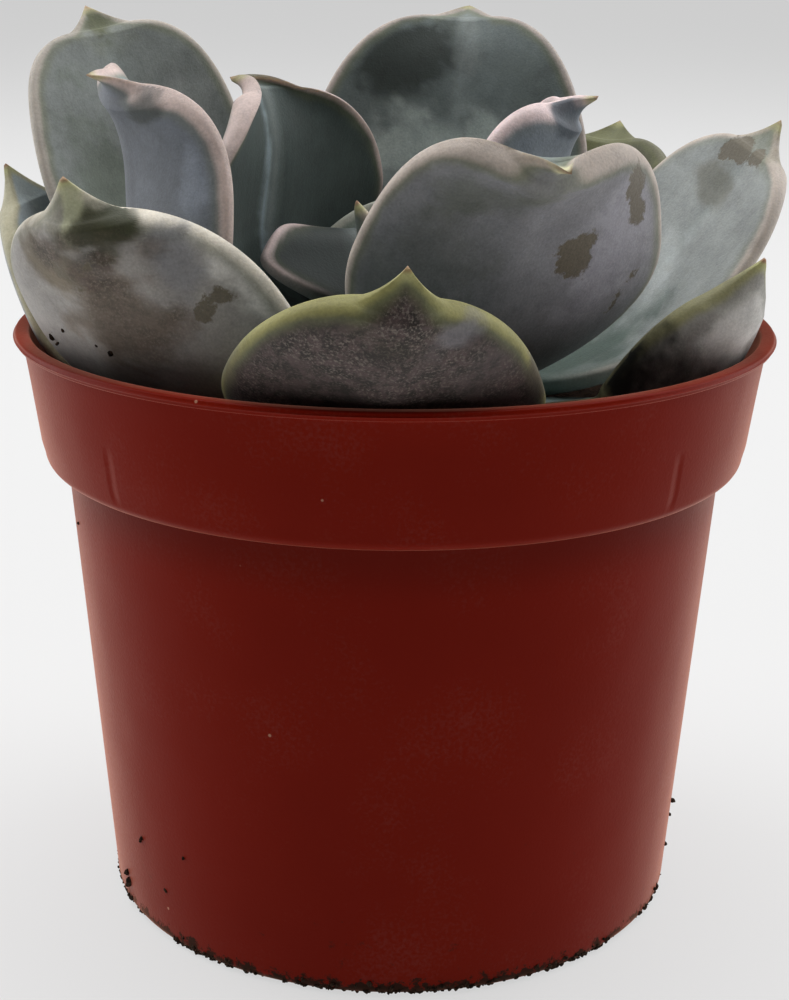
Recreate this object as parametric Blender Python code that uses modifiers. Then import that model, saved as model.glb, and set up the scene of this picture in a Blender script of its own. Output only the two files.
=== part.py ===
"""A rosette succulent with broad, dusty, spoon-shaped leaves, in a round plastic nursery pot.

Units are metres, +Z is up, +X is to the viewer's right and -Y is towards the viewer. The origin is the
middle of the pot's underside, on the surface that the pot stands on.
"""

import math
from collections import namedtuple

import bmesh
import bpy
import numpy as np
from mathutils import Vector, noise

NAME = "potted_ghost_echeveria"

# Gap between pieces that touch
FIT = 0.0003

# Pot: a 105 mm nursery pot with a flat lip, a deep band and a tapered body
LIP_TOP = 0.0828
LIP_RADIUS = 0.0525
LIP_BORE = 0.0505
LIP_THICK = 0.0012
BAND_TOP_RADIUS = 0.0514
BAND_FOOT_RADIUS = 0.0491
BAND_FOOT = 0.0646
BAND_CORNER = 0.0011
BODY_TOP_RADIUS = 0.0461
BASE_RADIUS = 0.0411
BASE_CORNER = 0.0016
WALL = 0.001
BASE_THICK = 0.0013
POT_STEPS = 60

# Drain holes in the pot's base and stacking ribs on the shelf inside its band
DRAIN_COUNT = 8
DRAIN_CIRCLE = 0.031
DRAIN_RADIUS = 0.0034
RIB_COUNT = 4
RIB_TOP = 0.0728
RIB_DEPTH = 0.0016
RIB_THICK = 0.0010

# Potting mix: highest round the stem, lowest at the wall
SOIL_CROWN = 0.0688
SOIL_EDGE = 0.0667
SOIL_STEPS = 40
SOIL_RINGS = 9
SOIL_ROUGHNESS = 0.0007
SOIL_GRAIN = 0.006

# Stem: a thick round stem that narrows where the leaves grow
STEM_RADIUS = 0.006
STEM_FOOT = 0.048
STEM_SHOULDER = 0.074
STEM_TOP = 0.086
STEM_TOP_RADIUS = 0.003
STEM_CHAMFER = 0.0018
STEM_STEPS = 20

# Leaf section, the same for every leaf: its thickness, the share of it above the midrib's surface and
# how blunt its edges are
LEAF_THICK = 0.0042
ADAXIAL_SHARE = 0.4
EDGE_BLUNTNESS = 0.65

# How a leaf gets thinner: below a half width, down to a share at its point, and at its very ends
FULL_THICK_WIDTH = 0.006
TIP_THICK_SHARE = 0.25
THICK_POWER = 0.7
END_TAPER = 0.3
END_POWER = 0.6

# Leaf outline: how broad its base is against its blade, where the blade is fully broad, and the small
# point at its tip
CLAW = 0.30
FULL_WIDTH_AT = 0.70
MUCRO = 0.0045
MUCRO_WIDTH = 0.0055
MUCRO_SHARPNESS = 1.6

# Where along a leaf its tip starts to turn back, where its margins start to stand up beside that tip as
# lobes and over what length, how those run out at its very end, and how its cup deepens from base to tip
RECURVE_FROM = 0.72
RECURVE_MOST = 1.2
LOBES_FROM = 0.45
LOBES_LENGTH = 0.4
LOBES_POWER = 0.5
CUP_AT_BASE = 0.7
CUP_GAIN = 0.5

LEAF_SEGMENTS = 14
LEAF_RINGS = 13
RINGS_TOWARDS_TIP = 0.75
MIDRIB_POINTS = 140

# One leaf. Angles are in degrees: heading is 0 to the right and 90 to the back, base_tilt and top_tilt
# are the midrib's slope at each end of its bend, recurve is how far the tip turns from that slope, sweep
# turns the heading towards the tip and roll turns the blade round its midrib. bend is where along the
# leaf the slope changes, and height is where its base leaves the stem. skew curls one margin more than
# the other, shoulders is how fast the blade narrows towards its tip, lobes is how far the margins stay
# behind when the tip turns, and seat is the gap to the stem.
Leaf = namedtuple(
    "Leaf",
    "name heading sweep base_tilt top_tilt bend recurve length width cup roll height "
    "skew shoulders lobes seat",
    defaults=(FIT,),
)

LEAVES = (
    # Lowest leaves, which go out over the soil and turn up inside the pot's lip
    Leaf("leaf_low_left", 175, -4, 5, 66, (0.36, 0.77), 0, 0.0615, 0.0355, 0.4, -15, 0.0707, 0, 0.95, 0),
    Leaf("leaf_low_front", -94, 20, -4, 47, (0.2, 0.72), 16, 0.0605, 0.0415, 0.35, -8, 0.073, 0, 0.8, 0.5),
    Leaf("leaf_low_right", -26, -7, 3, 61, (0.5, 0.72), 3, 0.055, 0.0275, 0.4, -20, 0.071, -0.15, 1.1, 0.4),
    Leaf("leaf_back_right", 46, 16, 1, 61, (0.05, 0.8), -14, 0.0605, 0.0385, 0.55, 0, 0.0715, 0, 0.7, 0),
    Leaf("leaf_low_back", 113, 0, 0, 62, (0.05, 0.8), -22, 0.056, 0.038, 0.6, 0, 0.072, 0, 0.85, 0),
    # Broad leaves of the main ring
    Leaf("leaf_front_left", -142, 21, 0, 63, (0.28, 0.74), 9, 0.062, 0.046, 0.5, 11, 0.0742, 0.15, 0.85, -0.3),
    Leaf("leaf_front_right", -71, 11, 9, 64, (0.05, 0.67), -51, 0.0565, 0.0445, 0.35, -9, 0.0755, 0.15, 0.55, 1),
    Leaf("leaf_right", 5, -8, 2, 54, (0.02, 0.67), 5, 0.059, 0.0375, 0.26, 29, 0.0735, 0, 0.75, 0),
    Leaf("leaf_back", 75, 6, 9, 74, (-0.06, 0.7), -35, 0.0655, 0.0465, 0.3, 0, 0.0742, 0.05, 0.75, 0.4),
    Leaf("leaf_back_left", 158, -22, 8, 74, (0, 0.76), -20, 0.0685, 0.04, 0.3, -16, 0.0742, 0, 0.6, 0),
    # Inner leaves, steeper and more cupped
    Leaf("leaf_left", -161, 24, 8, 91, (0.18, 0.71), -58, 0.0605, 0.039, 0.43, -15, 0.0772, 0.15, 0.6, 0.2),
    Leaf("leaf_inner_right", -17, 0, 28, 87, (0.05, 0.75), -43, 0.04, 0.0365, 0.85, 0, 0.08, 0, 0.8, 0),
    Leaf("leaf_inner_left", 149, -2, 24, 99, (0.15, 0.67), -59, 0.046, 0.0485, 0.33, 5, 0.077, -0.15, 0.8, 2),
    Leaf("leaf_inner_back", 74, 14, 25, 60, (0.1, 1), -15, 0.029, 0.033, 0.75, 0, 0.077, 0.1, 0.9, 0.3),
    # Youngest full leaves, round the heart
    Leaf("leaf_heart_back", 115, 0, 46, 52, (0.1, 0.8), -96, 0.0165, 0.033, 0.35, 0, 0.081, 0.05, 0.65, 0.2),
    Leaf("leaf_heart_front", -52, 0, 35, 82, (0.1, 0.8), -22, 0.02, 0.022, 0.6, -4, 0.084, 0, 0.85, 0),
    Leaf("leaf_heart_right", 14, 0, 53, 89, (0, 0.8), -22, 0.017, 0.017, 0.7, 0, 0.085, 0, 0.85, 0),
)

# Heart: a bud of small leaves on the stem's top, turned from each other by the golden angle
BUD_COUNT = 7
BUD_TURN = 137.5
BUD_FIRST_HEADING = 200
BUD_LENGTH = 0.0115
BUD_WIDTH = 0.0075
BUD_SHRINK = 0.87
BUD_TILT = 70
BUD_TILT_STEP = 2
BUD_SHOULDERS = 0.85
BUD_SEAT = -0.0012
BUD_FOOT = 0.0842
BUD_FOOT_STEP = 0.0003
BUD_SEGMENTS = 10
BUD_RINGS = 8

SHARP_ANGLE = 35

POT_COLOUR = (0.23, 0.045, 0.030, 1)
SOIL_COLOUR = (0.030, 0.020, 0.014, 1)
STEM_COLOUR = (0.16, 0.14, 0.09, 1)
LEAF_COLOUR = (0.24, 0.28, 0.26, 1)


def clear_scene():
    for old in list(bpy.data.objects):
        bpy.data.objects.remove(old, do_unlink=True)


def new_collection(name):
    collection = bpy.data.collections.new(name)
    bpy.context.scene.collection.children.link(collection)
    return collection


def plain_material(name, colour, roughness):
    material = bpy.data.materials.new(name)
    material.use_nodes = True
    shader = material.node_tree.nodes["Principled BSDF"]
    shader.inputs["Base Color"].default_value = colour
    shader.inputs["Roughness"].default_value = roughness
    shader.inputs["Metallic"].default_value = 0
    material.diffuse_color = colour
    return material


def new_object(name, mesh, collection, material=None):
    made = bpy.data.objects.new(name, mesh)
    collection.objects.link(made)
    if material:
        mesh.materials.append(material)
    return made


def applied(obj):
    """The object with its modifiers turned into its own mesh."""
    graph = bpy.context.evaluated_depsgraph_get()
    mesh = bpy.data.meshes.new_from_object(obj.evaluated_get(graph))
    obj.modifiers.clear()
    obj.data = mesh
    return obj


def turned(name, profile, steps, collection, material):
    """A turned solid. The profile runs down the outer side, top to bottom, and back up inside."""
    mesh = bpy.data.meshes.new(name)
    points = [(radius, 0, height) for radius, height in profile]
    loop = [(i, i + 1) for i in range(len(points) - 1)]
    if points[0][0] > 0:
        loop.append((len(points) - 1, 0))
    mesh.from_pydata(points, loop, [])
    made = new_object(name, mesh, collection, material)
    screw = made.modifiers.new("turn", "SCREW")
    screw.axis = "Z"
    screw.steps = steps
    screw.render_steps = steps
    screw.use_merge_vertices = True
    screw.merge_threshold = 0.00005
    return applied(made)


def arc(centre_radius, centre_height, size, start, end, count):
    """Points of a rounded corner in a profile, between two angles in degrees."""
    angles = [math.radians(start + (end - start) * i / count) for i in range(count + 1)]
    return [(centre_radius + size * math.cos(a), centre_height + size * math.sin(a)) for a in angles]


def wall_radius(height):
    """Outer radius of the pot's tapered body at a height."""
    return BASE_RADIUS + (BODY_TOP_RADIUS - BASE_RADIUS) * height / BAND_FOOT


def band_radius(height):
    """Outer radius of the pot's band at a height."""
    share = (height - BAND_FOOT) / (LIP_TOP - LIP_THICK - BAND_FOOT)
    return BAND_FOOT_RADIUS + (BAND_TOP_RADIUS - BAND_FOOT_RADIUS) * share


def pot_profile():
    shelf = BAND_FOOT + WALL
    under_lip = LIP_TOP - LIP_THICK
    edge = LIP_THICK / 2
    outside = arc(LIP_RADIUS - edge, LIP_TOP - edge, edge, 90, -90, 4)
    outside += [(BAND_TOP_RADIUS, under_lip)]
    outside += arc(band_radius(BAND_FOOT) - BAND_CORNER, BAND_FOOT + BAND_CORNER, BAND_CORNER, 0, -90, 3)
    outside += [(BODY_TOP_RADIUS, BAND_FOOT)]
    outside += arc(wall_radius(BASE_CORNER) - BASE_CORNER, BASE_CORNER, BASE_CORNER, 0, -90, 3)
    outside += [(0, 0)]
    inside = [(0, BASE_THICK), (wall_radius(BASE_THICK) - WALL, BASE_THICK)]
    inside += [(BODY_TOP_RADIUS - WALL, shelf), (band_radius(shelf) - WALL, shelf)]
    inside += [(BAND_TOP_RADIUS - WALL, under_lip - edge), (LIP_BORE, under_lip), (LIP_BORE, LIP_TOP)]
    return outside + inside


def cylinder(name, radius, depth, place, collection, segments=16):
    bm = bmesh.new()
    bmesh.ops.create_cone(
        bm, cap_ends=True, segments=segments, radius1=radius, radius2=radius, depth=depth
    )
    mesh = bpy.data.meshes.new(name)
    bm.to_mesh(mesh)
    bm.free()
    made = new_object(name, mesh, collection)
    made.location = place
    return made


def as_helper(obj):
    obj.hide_render = True
    obj.display_type = "WIRE"


def boolean(obj, helpers, operation, solver="EXACT"):
    for helper in helpers.objects:
        as_helper(helper)
    step = obj.modifiers.new(operation.lower(), "BOOLEAN")
    step.operation = operation
    step.operand_type = "COLLECTION"
    step.collection = helpers
    step.solver = solver
    bpy.context.view_layer.update()
    applied(obj)
    for helper in list(helpers.objects):
        bpy.data.objects.remove(helper, do_unlink=True)
    bpy.data.collections.remove(helpers)


def add_drain_holes(pot):
    cutters = new_collection("drain cutters")
    for i in range(DRAIN_COUNT):
        angle = math.tau * (i + 0.5) / DRAIN_COUNT
        place = (DRAIN_CIRCLE * math.cos(angle), DRAIN_CIRCLE * math.sin(angle), BASE_THICK / 2)
        cylinder(f"drain_{i}", DRAIN_RADIUS, BASE_THICK * 4, place, cutters)
    boolean(pot, cutters, "DIFFERENCE")


def stacking_ribs(name, margin):
    """Upright blocks on the inner shelf, which keep nested pots from jamming, with a margin all round."""
    ribs = new_collection(name)
    shelf = BAND_FOOT + WALL
    inner = band_radius(shelf) - WALL - RIB_DEPTH - margin
    for i in range(RIB_COUNT):
        bm = bmesh.new()
        bmesh.ops.create_cube(bm, size=1)
        mesh = bpy.data.meshes.new(f"{name}_{i}")
        for vert in bm.verts:
            height = RIB_TOP + margin if vert.co.z > 0 else shelf - WALL / 2
            outer = band_radius(height) - WALL / 2
            radius = outer + margin if vert.co.x > 0 else inner
            vert.co = Vector((radius, vert.co.y * (RIB_THICK + 2 * margin), height))
        bm.to_mesh(mesh)
        bm.free()
        rib = new_object(f"{name}_{i}", mesh, ribs)
        rib.rotation_euler.z = math.tau * (i + 0.5) / RIB_COUNT
    return ribs


def make_pot(collection):
    pot = turned(
        "pot", pot_profile(), POT_STEPS, collection, plain_material("pot plastic", POT_COLOUR, 0.35)
    )
    add_drain_holes(pot)
    boolean(pot, stacking_ribs("rib", 0), "UNION")
    return pot


def soil_edge_radius():
    return band_radius(SOIL_EDGE) - WALL - 2 * FIT


def soil_profile():
    """The soil's outline, from the stem's hole out over its top, down the pot's wall and back below."""
    hole = STEM_RADIUS + FIT
    shelf = BAND_FOOT + WALL + FIT
    edge = soil_edge_radius()
    profile = []
    for i in range(SOIL_RINGS):
        share = i / (SOIL_RINGS - 1)
        height = SOIL_CROWN + (SOIL_EDGE - SOIL_CROWN) * share
        profile.append((hole + (edge - hole) * share, height))
    profile += [(band_radius(shelf) - WALL - 2 * FIT, shelf), (BODY_TOP_RADIUS - WALL - 2 * FIT, shelf)]
    profile += [(wall_radius(BASE_THICK) - WALL - 2 * FIT, BASE_THICK + FIT), (0, BASE_THICK + FIT)]
    profile += [(0, STEM_FOOT - FIT), (hole, STEM_FOOT - FIT)]
    return profile


def roughen(soil):
    """Clods and dips on the soil's top, but not along the pot's wall or the stem."""
    for vert in soil.data.vertices:
        radius = math.hypot(vert.co.x, vert.co.y)
        inside = STEM_RADIUS + 2 * FIT < radius < soil_edge_radius() - FIT
        if inside and vert.co.z > SOIL_EDGE - FIT / 2:
            vert.co.z += SOIL_ROUGHNESS * noise.noise(vert.co / SOIL_GRAIN)


def make_soil(collection):
    soil = turned(
        "soil", soil_profile(), SOIL_STEPS, collection, plain_material("potting mix", SOIL_COLOUR, 0.95)
    )
    roughen(soil)
    boolean(soil, stacking_ribs("rib slot", FIT), "DIFFERENCE")
    return soil


def stem_radius(height):
    """Radius of the stem at a height: even up to its shoulder, then narrowing to the heart."""
    share = max(0, height - STEM_SHOULDER) / (STEM_TOP - STEM_SHOULDER)
    return STEM_RADIUS + (STEM_TOP_RADIUS - STEM_RADIUS) * share


def smooth(x):
    x = np.clip(x, 0, 1)
    return x * x * (3 - 2 * x)


def leaf_outline(leaf, along):
    """Share of the length, distance from the base, half width and thickness of the section there.

    The blade is broad above a narrow claw and ends in a small mucro.
    """
    crowded = RINGS_TOWARDS_TIP * np.sin(along * np.pi / 2)
    theta = np.pi * ((1 - RINGS_TOWARDS_TIP) * along + crowded)
    share = (1 - np.cos(theta)) / 2
    broadening = CLAW + (1 - CLAW) * smooth(share / FULL_WIDTH_AT)
    half_width = leaf.width / 2 * np.abs(np.sin(theta)) ** leaf.shoulders * broadening
    point = np.clip(1 - half_width / MUCRO_WIDTH, 0, 1) ** MUCRO_SHARPNESS * (share > 0.5)
    thick = LEAF_THICK * np.clip(half_width / FULL_THICK_WIDTH, TIP_THICK_SHARE, 1) ** THICK_POWER
    thick = thick * np.minimum(1, np.abs(np.sin(theta)) / END_TAPER) ** END_POWER
    return share, share * leaf.length + MUCRO * point, half_width, thick


def leaf_path(leaf, tilt, heading, run):
    """The points of a line that leaves the stem and has a slope and a heading at each point."""
    direction = np.stack([np.cos(tilt) * np.cos(heading), np.cos(tilt) * np.sin(heading), np.sin(tilt)])
    steps = (direction[:, 1:] + direction[:, :-1]) / 2 * np.diff(run)
    seat = stem_radius(leaf.height) + leaf.seat
    base = np.array([seat * np.cos(heading[0]), seat * np.sin(heading[0]), leaf.height])
    return base[:, None] + np.concatenate([np.zeros((3, 1)), np.cumsum(steps, axis=1)], axis=1)


def leaf_midrib(leaf):
    """The midrib goes out, bends up and turns back at the tip. Its slope comes without that turn too."""
    run = np.linspace(0, leaf.length + MUCRO, MIDRIB_POINTS)
    part = run / leaf.length
    bend_start, bend_end = leaf.bend
    bent = smooth((part - bend_start) / (bend_end - bend_start))
    tilt = np.radians(leaf.base_tilt + (leaf.top_tilt - leaf.base_tilt) * bent)
    past = np.clip((part - RECURVE_FROM) / (1 - RECURVE_FROM), 0, RECURVE_MOST)
    back = np.radians(leaf.recurve * past**2)
    heading = np.radians(leaf.heading + leaf.sweep * part**2)
    return run, tilt, back, heading


def leaf_points(leaf, along, around):
    """Points on a leaf. along runs from 0 at its base to 1 at its tip, around goes round its section."""
    share, distance, half_width, thick = leaf_outline(leaf, along)
    run, tilt, back, heading = leaf_midrib(leaf)
    # The middle of the section. Towards the margins it follows the midrib as it is without its turn.
    ends = 4 * share * (1 - share)
    lift = leaf.lobes * ends ** (LOBES_POWER / 2) * smooth((share - LOBES_FROM) / LOBES_LENGTH)
    lift = (lift * np.cos(around) ** 2)[:, None]
    turned_line = leaf_path(leaf, tilt + back, heading, run)
    plain_line = leaf_path(leaf, tilt, heading, run)
    turned_middle = np.stack([np.interp(distance, run, axis) for axis in turned_line], axis=-1)
    plain_middle = np.stack([np.interp(distance, run, axis) for axis in plain_line], axis=-1)
    middle = turned_middle * (1 - lift) + plain_middle * lift
    tilt = np.interp(distance, run, tilt)[:, None] + np.interp(distance, run, back)[:, None] * (1 - lift)
    heading = np.interp(distance, run, heading)[:, None]
    # The blade's own axes, rolled round the midrib
    outward = np.concatenate([np.cos(heading), np.sin(heading), 0 * heading], axis=1)
    sideways = np.concatenate([-np.sin(heading), np.cos(heading), 0 * heading], axis=1)
    upward = np.array([0, 0, 1]) * np.cos(tilt) - outward * np.sin(tilt)
    reach = np.clip(distance / leaf.length, 0, 1)[:, None]
    roll = np.radians(leaf.roll * reach)
    across = np.cos(roll) * sideways + np.sin(roll) * upward
    above = -np.sin(roll) * sideways + np.cos(roll) * upward
    # The section: curled along an arc, thick in the middle and blunt at its edges
    curl = leaf.cup * (CUP_AT_BASE + CUP_GAIN * reach)
    turn = curl * (np.cos(around) * (1 + leaf.skew * np.cos(around)))[:, None]
    width = half_width[:, None]
    surface = middle + width * np.sin(turn) / curl * across + width * (1 - np.cos(turn)) / curl * above
    outwards = np.cos(turn) * above - np.sin(turn) * across
    side = np.sign(np.sin(around)) * np.abs(np.sin(around)) ** EDGE_BLUNTNESS
    offset = np.where(side > 0, ADAXIAL_SHARE, 1 - ADAXIAL_SHARE) * thick * side
    return surface + offset[:, None] * outwards


def leaf_mesh(leaf, segments, rings):
    """A sphere reshaped into a leaf: its poles become the leaf's base and its tip."""
    bm = bmesh.new()
    bmesh.ops.create_uvsphere(bm, u_segments=segments, v_segments=rings, radius=1)
    sphere = np.array([vert.co[:] for vert in bm.verts])
    along = np.arccos(np.clip(-sphere[:, 2], -1, 1)) / np.pi
    around = np.arctan2(sphere[:, 1], sphere[:, 0])
    for vert, place in zip(bm.verts, leaf_points(leaf, along, around)):
        vert.co = place
    if bm.calc_volume(signed=True) < 0:
        bmesh.ops.reverse_faces(bm, faces=bm.faces)
    mesh = bpy.data.meshes.new(leaf.name)
    bm.to_mesh(mesh)
    bm.free()
    mesh.shade_smooth()
    return mesh


def bud_leaf(i):
    """A small leaf of the bud. Later ones are smaller, steeper and higher."""
    size = BUD_SHRINK**i
    return Leaf(
        f"bud_{i}",
        heading=BUD_FIRST_HEADING + BUD_TURN * i,
        sweep=0,
        base_tilt=BUD_TILT + BUD_TILT_STEP * i,
        top_tilt=90,
        bend=(0.0, 0.8),
        recurve=-15,
        length=BUD_LENGTH * size,
        width=BUD_WIDTH * size,
        cup=0.9,
        roll=0,
        height=BUD_FOOT + BUD_FOOT_STEP * i,
        skew=0,
        shoulders=BUD_SHOULDERS,
        lobes=0,
        seat=BUD_SEAT,
    )


def make_stem_and_heart(collection):
    profile = [(0, STEM_TOP), (STEM_TOP_RADIUS, STEM_TOP), (STEM_RADIUS, STEM_SHOULDER)]
    profile += [(STEM_RADIUS, STEM_FOOT + STEM_CHAMFER), (STEM_RADIUS - STEM_CHAMFER, STEM_FOOT)]
    profile += [(0, STEM_FOOT)]
    stem = turned(
        "stem_and_heart",
        profile,
        STEM_STEPS,
        collection,
        plain_material("stem tissue", STEM_COLOUR, 0.6),
    )
    bud = new_collection("bud")
    for i in range(BUD_COUNT):
        new_object(f"bud_{i}", leaf_mesh(bud_leaf(i), BUD_SEGMENTS, BUD_RINGS), bud)
    boolean(stem, bud, "UNION", "MANIFOLD")
    return stem


def make_leaves(collection):
    material = plain_material("leaf skin", LEAF_COLOUR, 0.55)
    for leaf in LEAVES:
        new_object(leaf.name, leaf_mesh(leaf, LEAF_SEGMENTS, LEAF_RINGS), collection, material)


def main():
    clear_scene()
    parts = new_collection(NAME)
    for made in (make_pot(parts), make_soil(parts), make_stem_and_heart(parts)):
        made.data.shade_smooth()
        made.data.set_sharp_from_angle(angle=math.radians(SHARP_ANGLE))
    make_leaves(parts)


main()
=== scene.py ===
"""Looks of a potted rosette succulent: broad dusty leaves in a round plastic nursery pot.

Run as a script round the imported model. Units are metres, +Z is up, +X is to the viewer's right and -Y is
towards the viewer.
"""

import math
import random
from collections import namedtuple
from functools import partial

import bmesh
import bpy
import numpy as np
from bpy.props import FloatProperty, IntProperty, StringProperty
from mathutils import Matrix, Vector, noise


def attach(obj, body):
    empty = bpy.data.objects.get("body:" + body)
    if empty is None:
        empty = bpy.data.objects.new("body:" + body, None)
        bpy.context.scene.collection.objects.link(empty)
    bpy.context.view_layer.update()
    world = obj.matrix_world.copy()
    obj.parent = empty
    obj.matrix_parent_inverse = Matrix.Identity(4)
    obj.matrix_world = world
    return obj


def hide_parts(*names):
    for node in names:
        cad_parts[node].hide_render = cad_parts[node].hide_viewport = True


bl_info = {
    "name": "Potted Rosette Succulent",
    "version": (1, 0, 0),
    "blender": (4, 5, 0),
    "location": "View3D > Sidebar > Succulent",
    "description": "Builds a dusty rosette succulent in a plastic nursery pot",
    "category": "Add Mesh",
}

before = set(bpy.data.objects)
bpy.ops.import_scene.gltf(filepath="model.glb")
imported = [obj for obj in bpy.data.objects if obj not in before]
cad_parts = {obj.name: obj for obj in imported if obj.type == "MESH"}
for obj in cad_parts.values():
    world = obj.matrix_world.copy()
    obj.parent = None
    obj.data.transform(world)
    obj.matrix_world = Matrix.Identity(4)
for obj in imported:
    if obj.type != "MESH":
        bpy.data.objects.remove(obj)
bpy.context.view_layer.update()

BODY = "root"
MM = 0.001
FIT = 0.0003

# Pot outline, as in the solid
LIP_TOP = 0.0828
LIP_RADIUS = 0.0525
LIP_BORE = 0.0505
LIP_THICK = 0.0012
BAND_TOP_RADIUS = 0.0514
BAND_FOOT_RADIUS = 0.0491
BAND_FOOT = 0.0646
BAND_CORNER = 0.0016
BODY_TOP_RADIUS = 0.0461
BASE_RADIUS = 0.0411
BASE_CORNER = 0.0016
WALL = 0.001
BASE_THICK = 0.0013
LIP_CORNER = 0.0004
PARTING_RIDGE = 0.0002
BAND_HEIGHTS = (0.0765, 0.0720, 0.0680)
WALL_HEIGHTS = (0.060, 0.050, 0.040, 0.030, 0.020, 0.009)
BASE_RADII = (0.036, 0.026, 0.012, 0)
POT_STEPS = 240
DRAIN_COUNT = 8
DRAIN_CIRCLE = 0.031
DRAIN_RADIUS = 0.0034
DRAIN_SEGMENTS = 40
RIB_COUNT = 4
RIB_TOP = 0.0728
RIB_DEPTH = 0.0016
RIB_THICK = 0.0010

# Potting mix and stem, as in the solids
SOIL_CROWN = 0.0688
SOIL_EDGE = 0.0667
SOIL_STEPS = 160
SOIL_RINGS = 60
SOIL_ROUGHNESS = 0.0007
SOIL_GRAIN = 0.006
GRIT_HEIGHT = 0.00045
GRIT_SIZE = 0.0018
STEM_RADIUS = 0.006
STEM_FOOT = 0.048
STEM_SHOULDER = 0.074
STEM_TOP = 0.086
STEM_TOP_RADIUS = 0.003
STEM_CHAMFER = 0.0018
STEM_STEPS = 64

# Crumbs: on the soil and along the pot's foot, with the sizes they come in, then those that stick to the
# pot's wall (angle in degrees, height and size) and to a leaf (place and size)
SOIL_CRUMBS = 420
SOIL_CRUMBS_FROM = 0.009
SOIL_CRUMBS_MARGIN = 0.002
SOIL_CRUMB_SIZES = (0.0003, 0.0004, 0.0005, 0.0007, 0.0010)
FOOT_CRUMBS = 1300
FOOT_CRUMB_SIZES = (0.00015, 0.0002, 0.0003, 0.0004)
FOOT_CRUMB_SPREAD = 0.0006
WALL_CRUMBS = (
    (215.2, 0.0142, 0.00045),
    (214.6, 0.0136, 0.0003),
    (228.8, 0.0152, 0.00028),
    (222.2, 0.0082, 0.00028),
    (178.8, 0.0260, 0.00035),
    (178.0, 0.0335, 0.00022),
    (181.0, 0.0262, 0.00025),
    (348.5, 0.0130, 0.0005),
    (349.0, 0.0105, 0.0004),
    (348.0, 0.0060, 0.00045),
    (199.0, 0.0570, 0.0003),
    (1.5, 0.0558, 0.0003),
    (204.8, 0.0052, 0.0007),
    (205.6, 0.0040, 0.0007),
    (204.2, 0.0030, 0.0005),
)
LEAF_CRUMBS = (
    ((-0.0418, -0.0274, 0.0866), 0.00035),
    ((-0.0352, -0.0316, 0.0847), 0.0006),
    ((-0.0370, -0.0309, 0.0855), 0.00035),
    ((-0.0441, -0.0228, 0.0847), 0.00045),
    ((-0.0436, -0.0240, 0.0858), 0.0003),
    ((-0.0428, -0.0262, 0.0846), 0.0003),
)

# Leaf section and outline, as in the solids
LEAF_THICK = 0.0042
ADAXIAL_SHARE = 0.4
EDGE_BLUNTNESS = 0.65
FULL_THICK_WIDTH = 0.006
TIP_THICK_SHARE = 0.25
THICK_POWER = 0.7
END_TAPER = 0.3
END_POWER = 0.6
CLAW = 0.30
FULL_WIDTH_AT = 0.70
MUCRO = 0.0045
MUCRO_WIDTH = 0.0055
MUCRO_SHARPNESS = 1.6
RECURVE_FROM = 0.72
RECURVE_MOST = 1.2
LOBES_FROM = 0.45
LOBES_LENGTH = 0.4
LOBES_POWER = 0.5
CUP_AT_BASE = 0.7
CUP_GAIN = 0.5
RINGS_TOWARDS_TIP = 0.75
MIDRIB_POINTS = 140
OUTLINE_POINTS = 240
DISTANCE_BATCH = 4000

# One leaf. Angles are in degrees: heading is 0 to the right and 90 to the back, base_tilt and top_tilt
# are the midrib's slope at each end of its bend, recurve is how far the tip turns from that slope, sweep
# turns the heading towards the tip and roll turns the blade round its midrib. bend is where along the
# leaf the slope changes, and height is where its base leaves the stem. skew curls one margin more than
# the other, shoulders is how fast the blade narrows towards its tip, lobes is how far the margins stay
# behind when the tip turns, and seat is the gap to the stem.
Leaf = namedtuple(
    "Leaf",
    "name heading sweep base_tilt top_tilt bend recurve length width cup roll height "
    "skew shoulders lobes seat",
    defaults=(FIT,),
)

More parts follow.
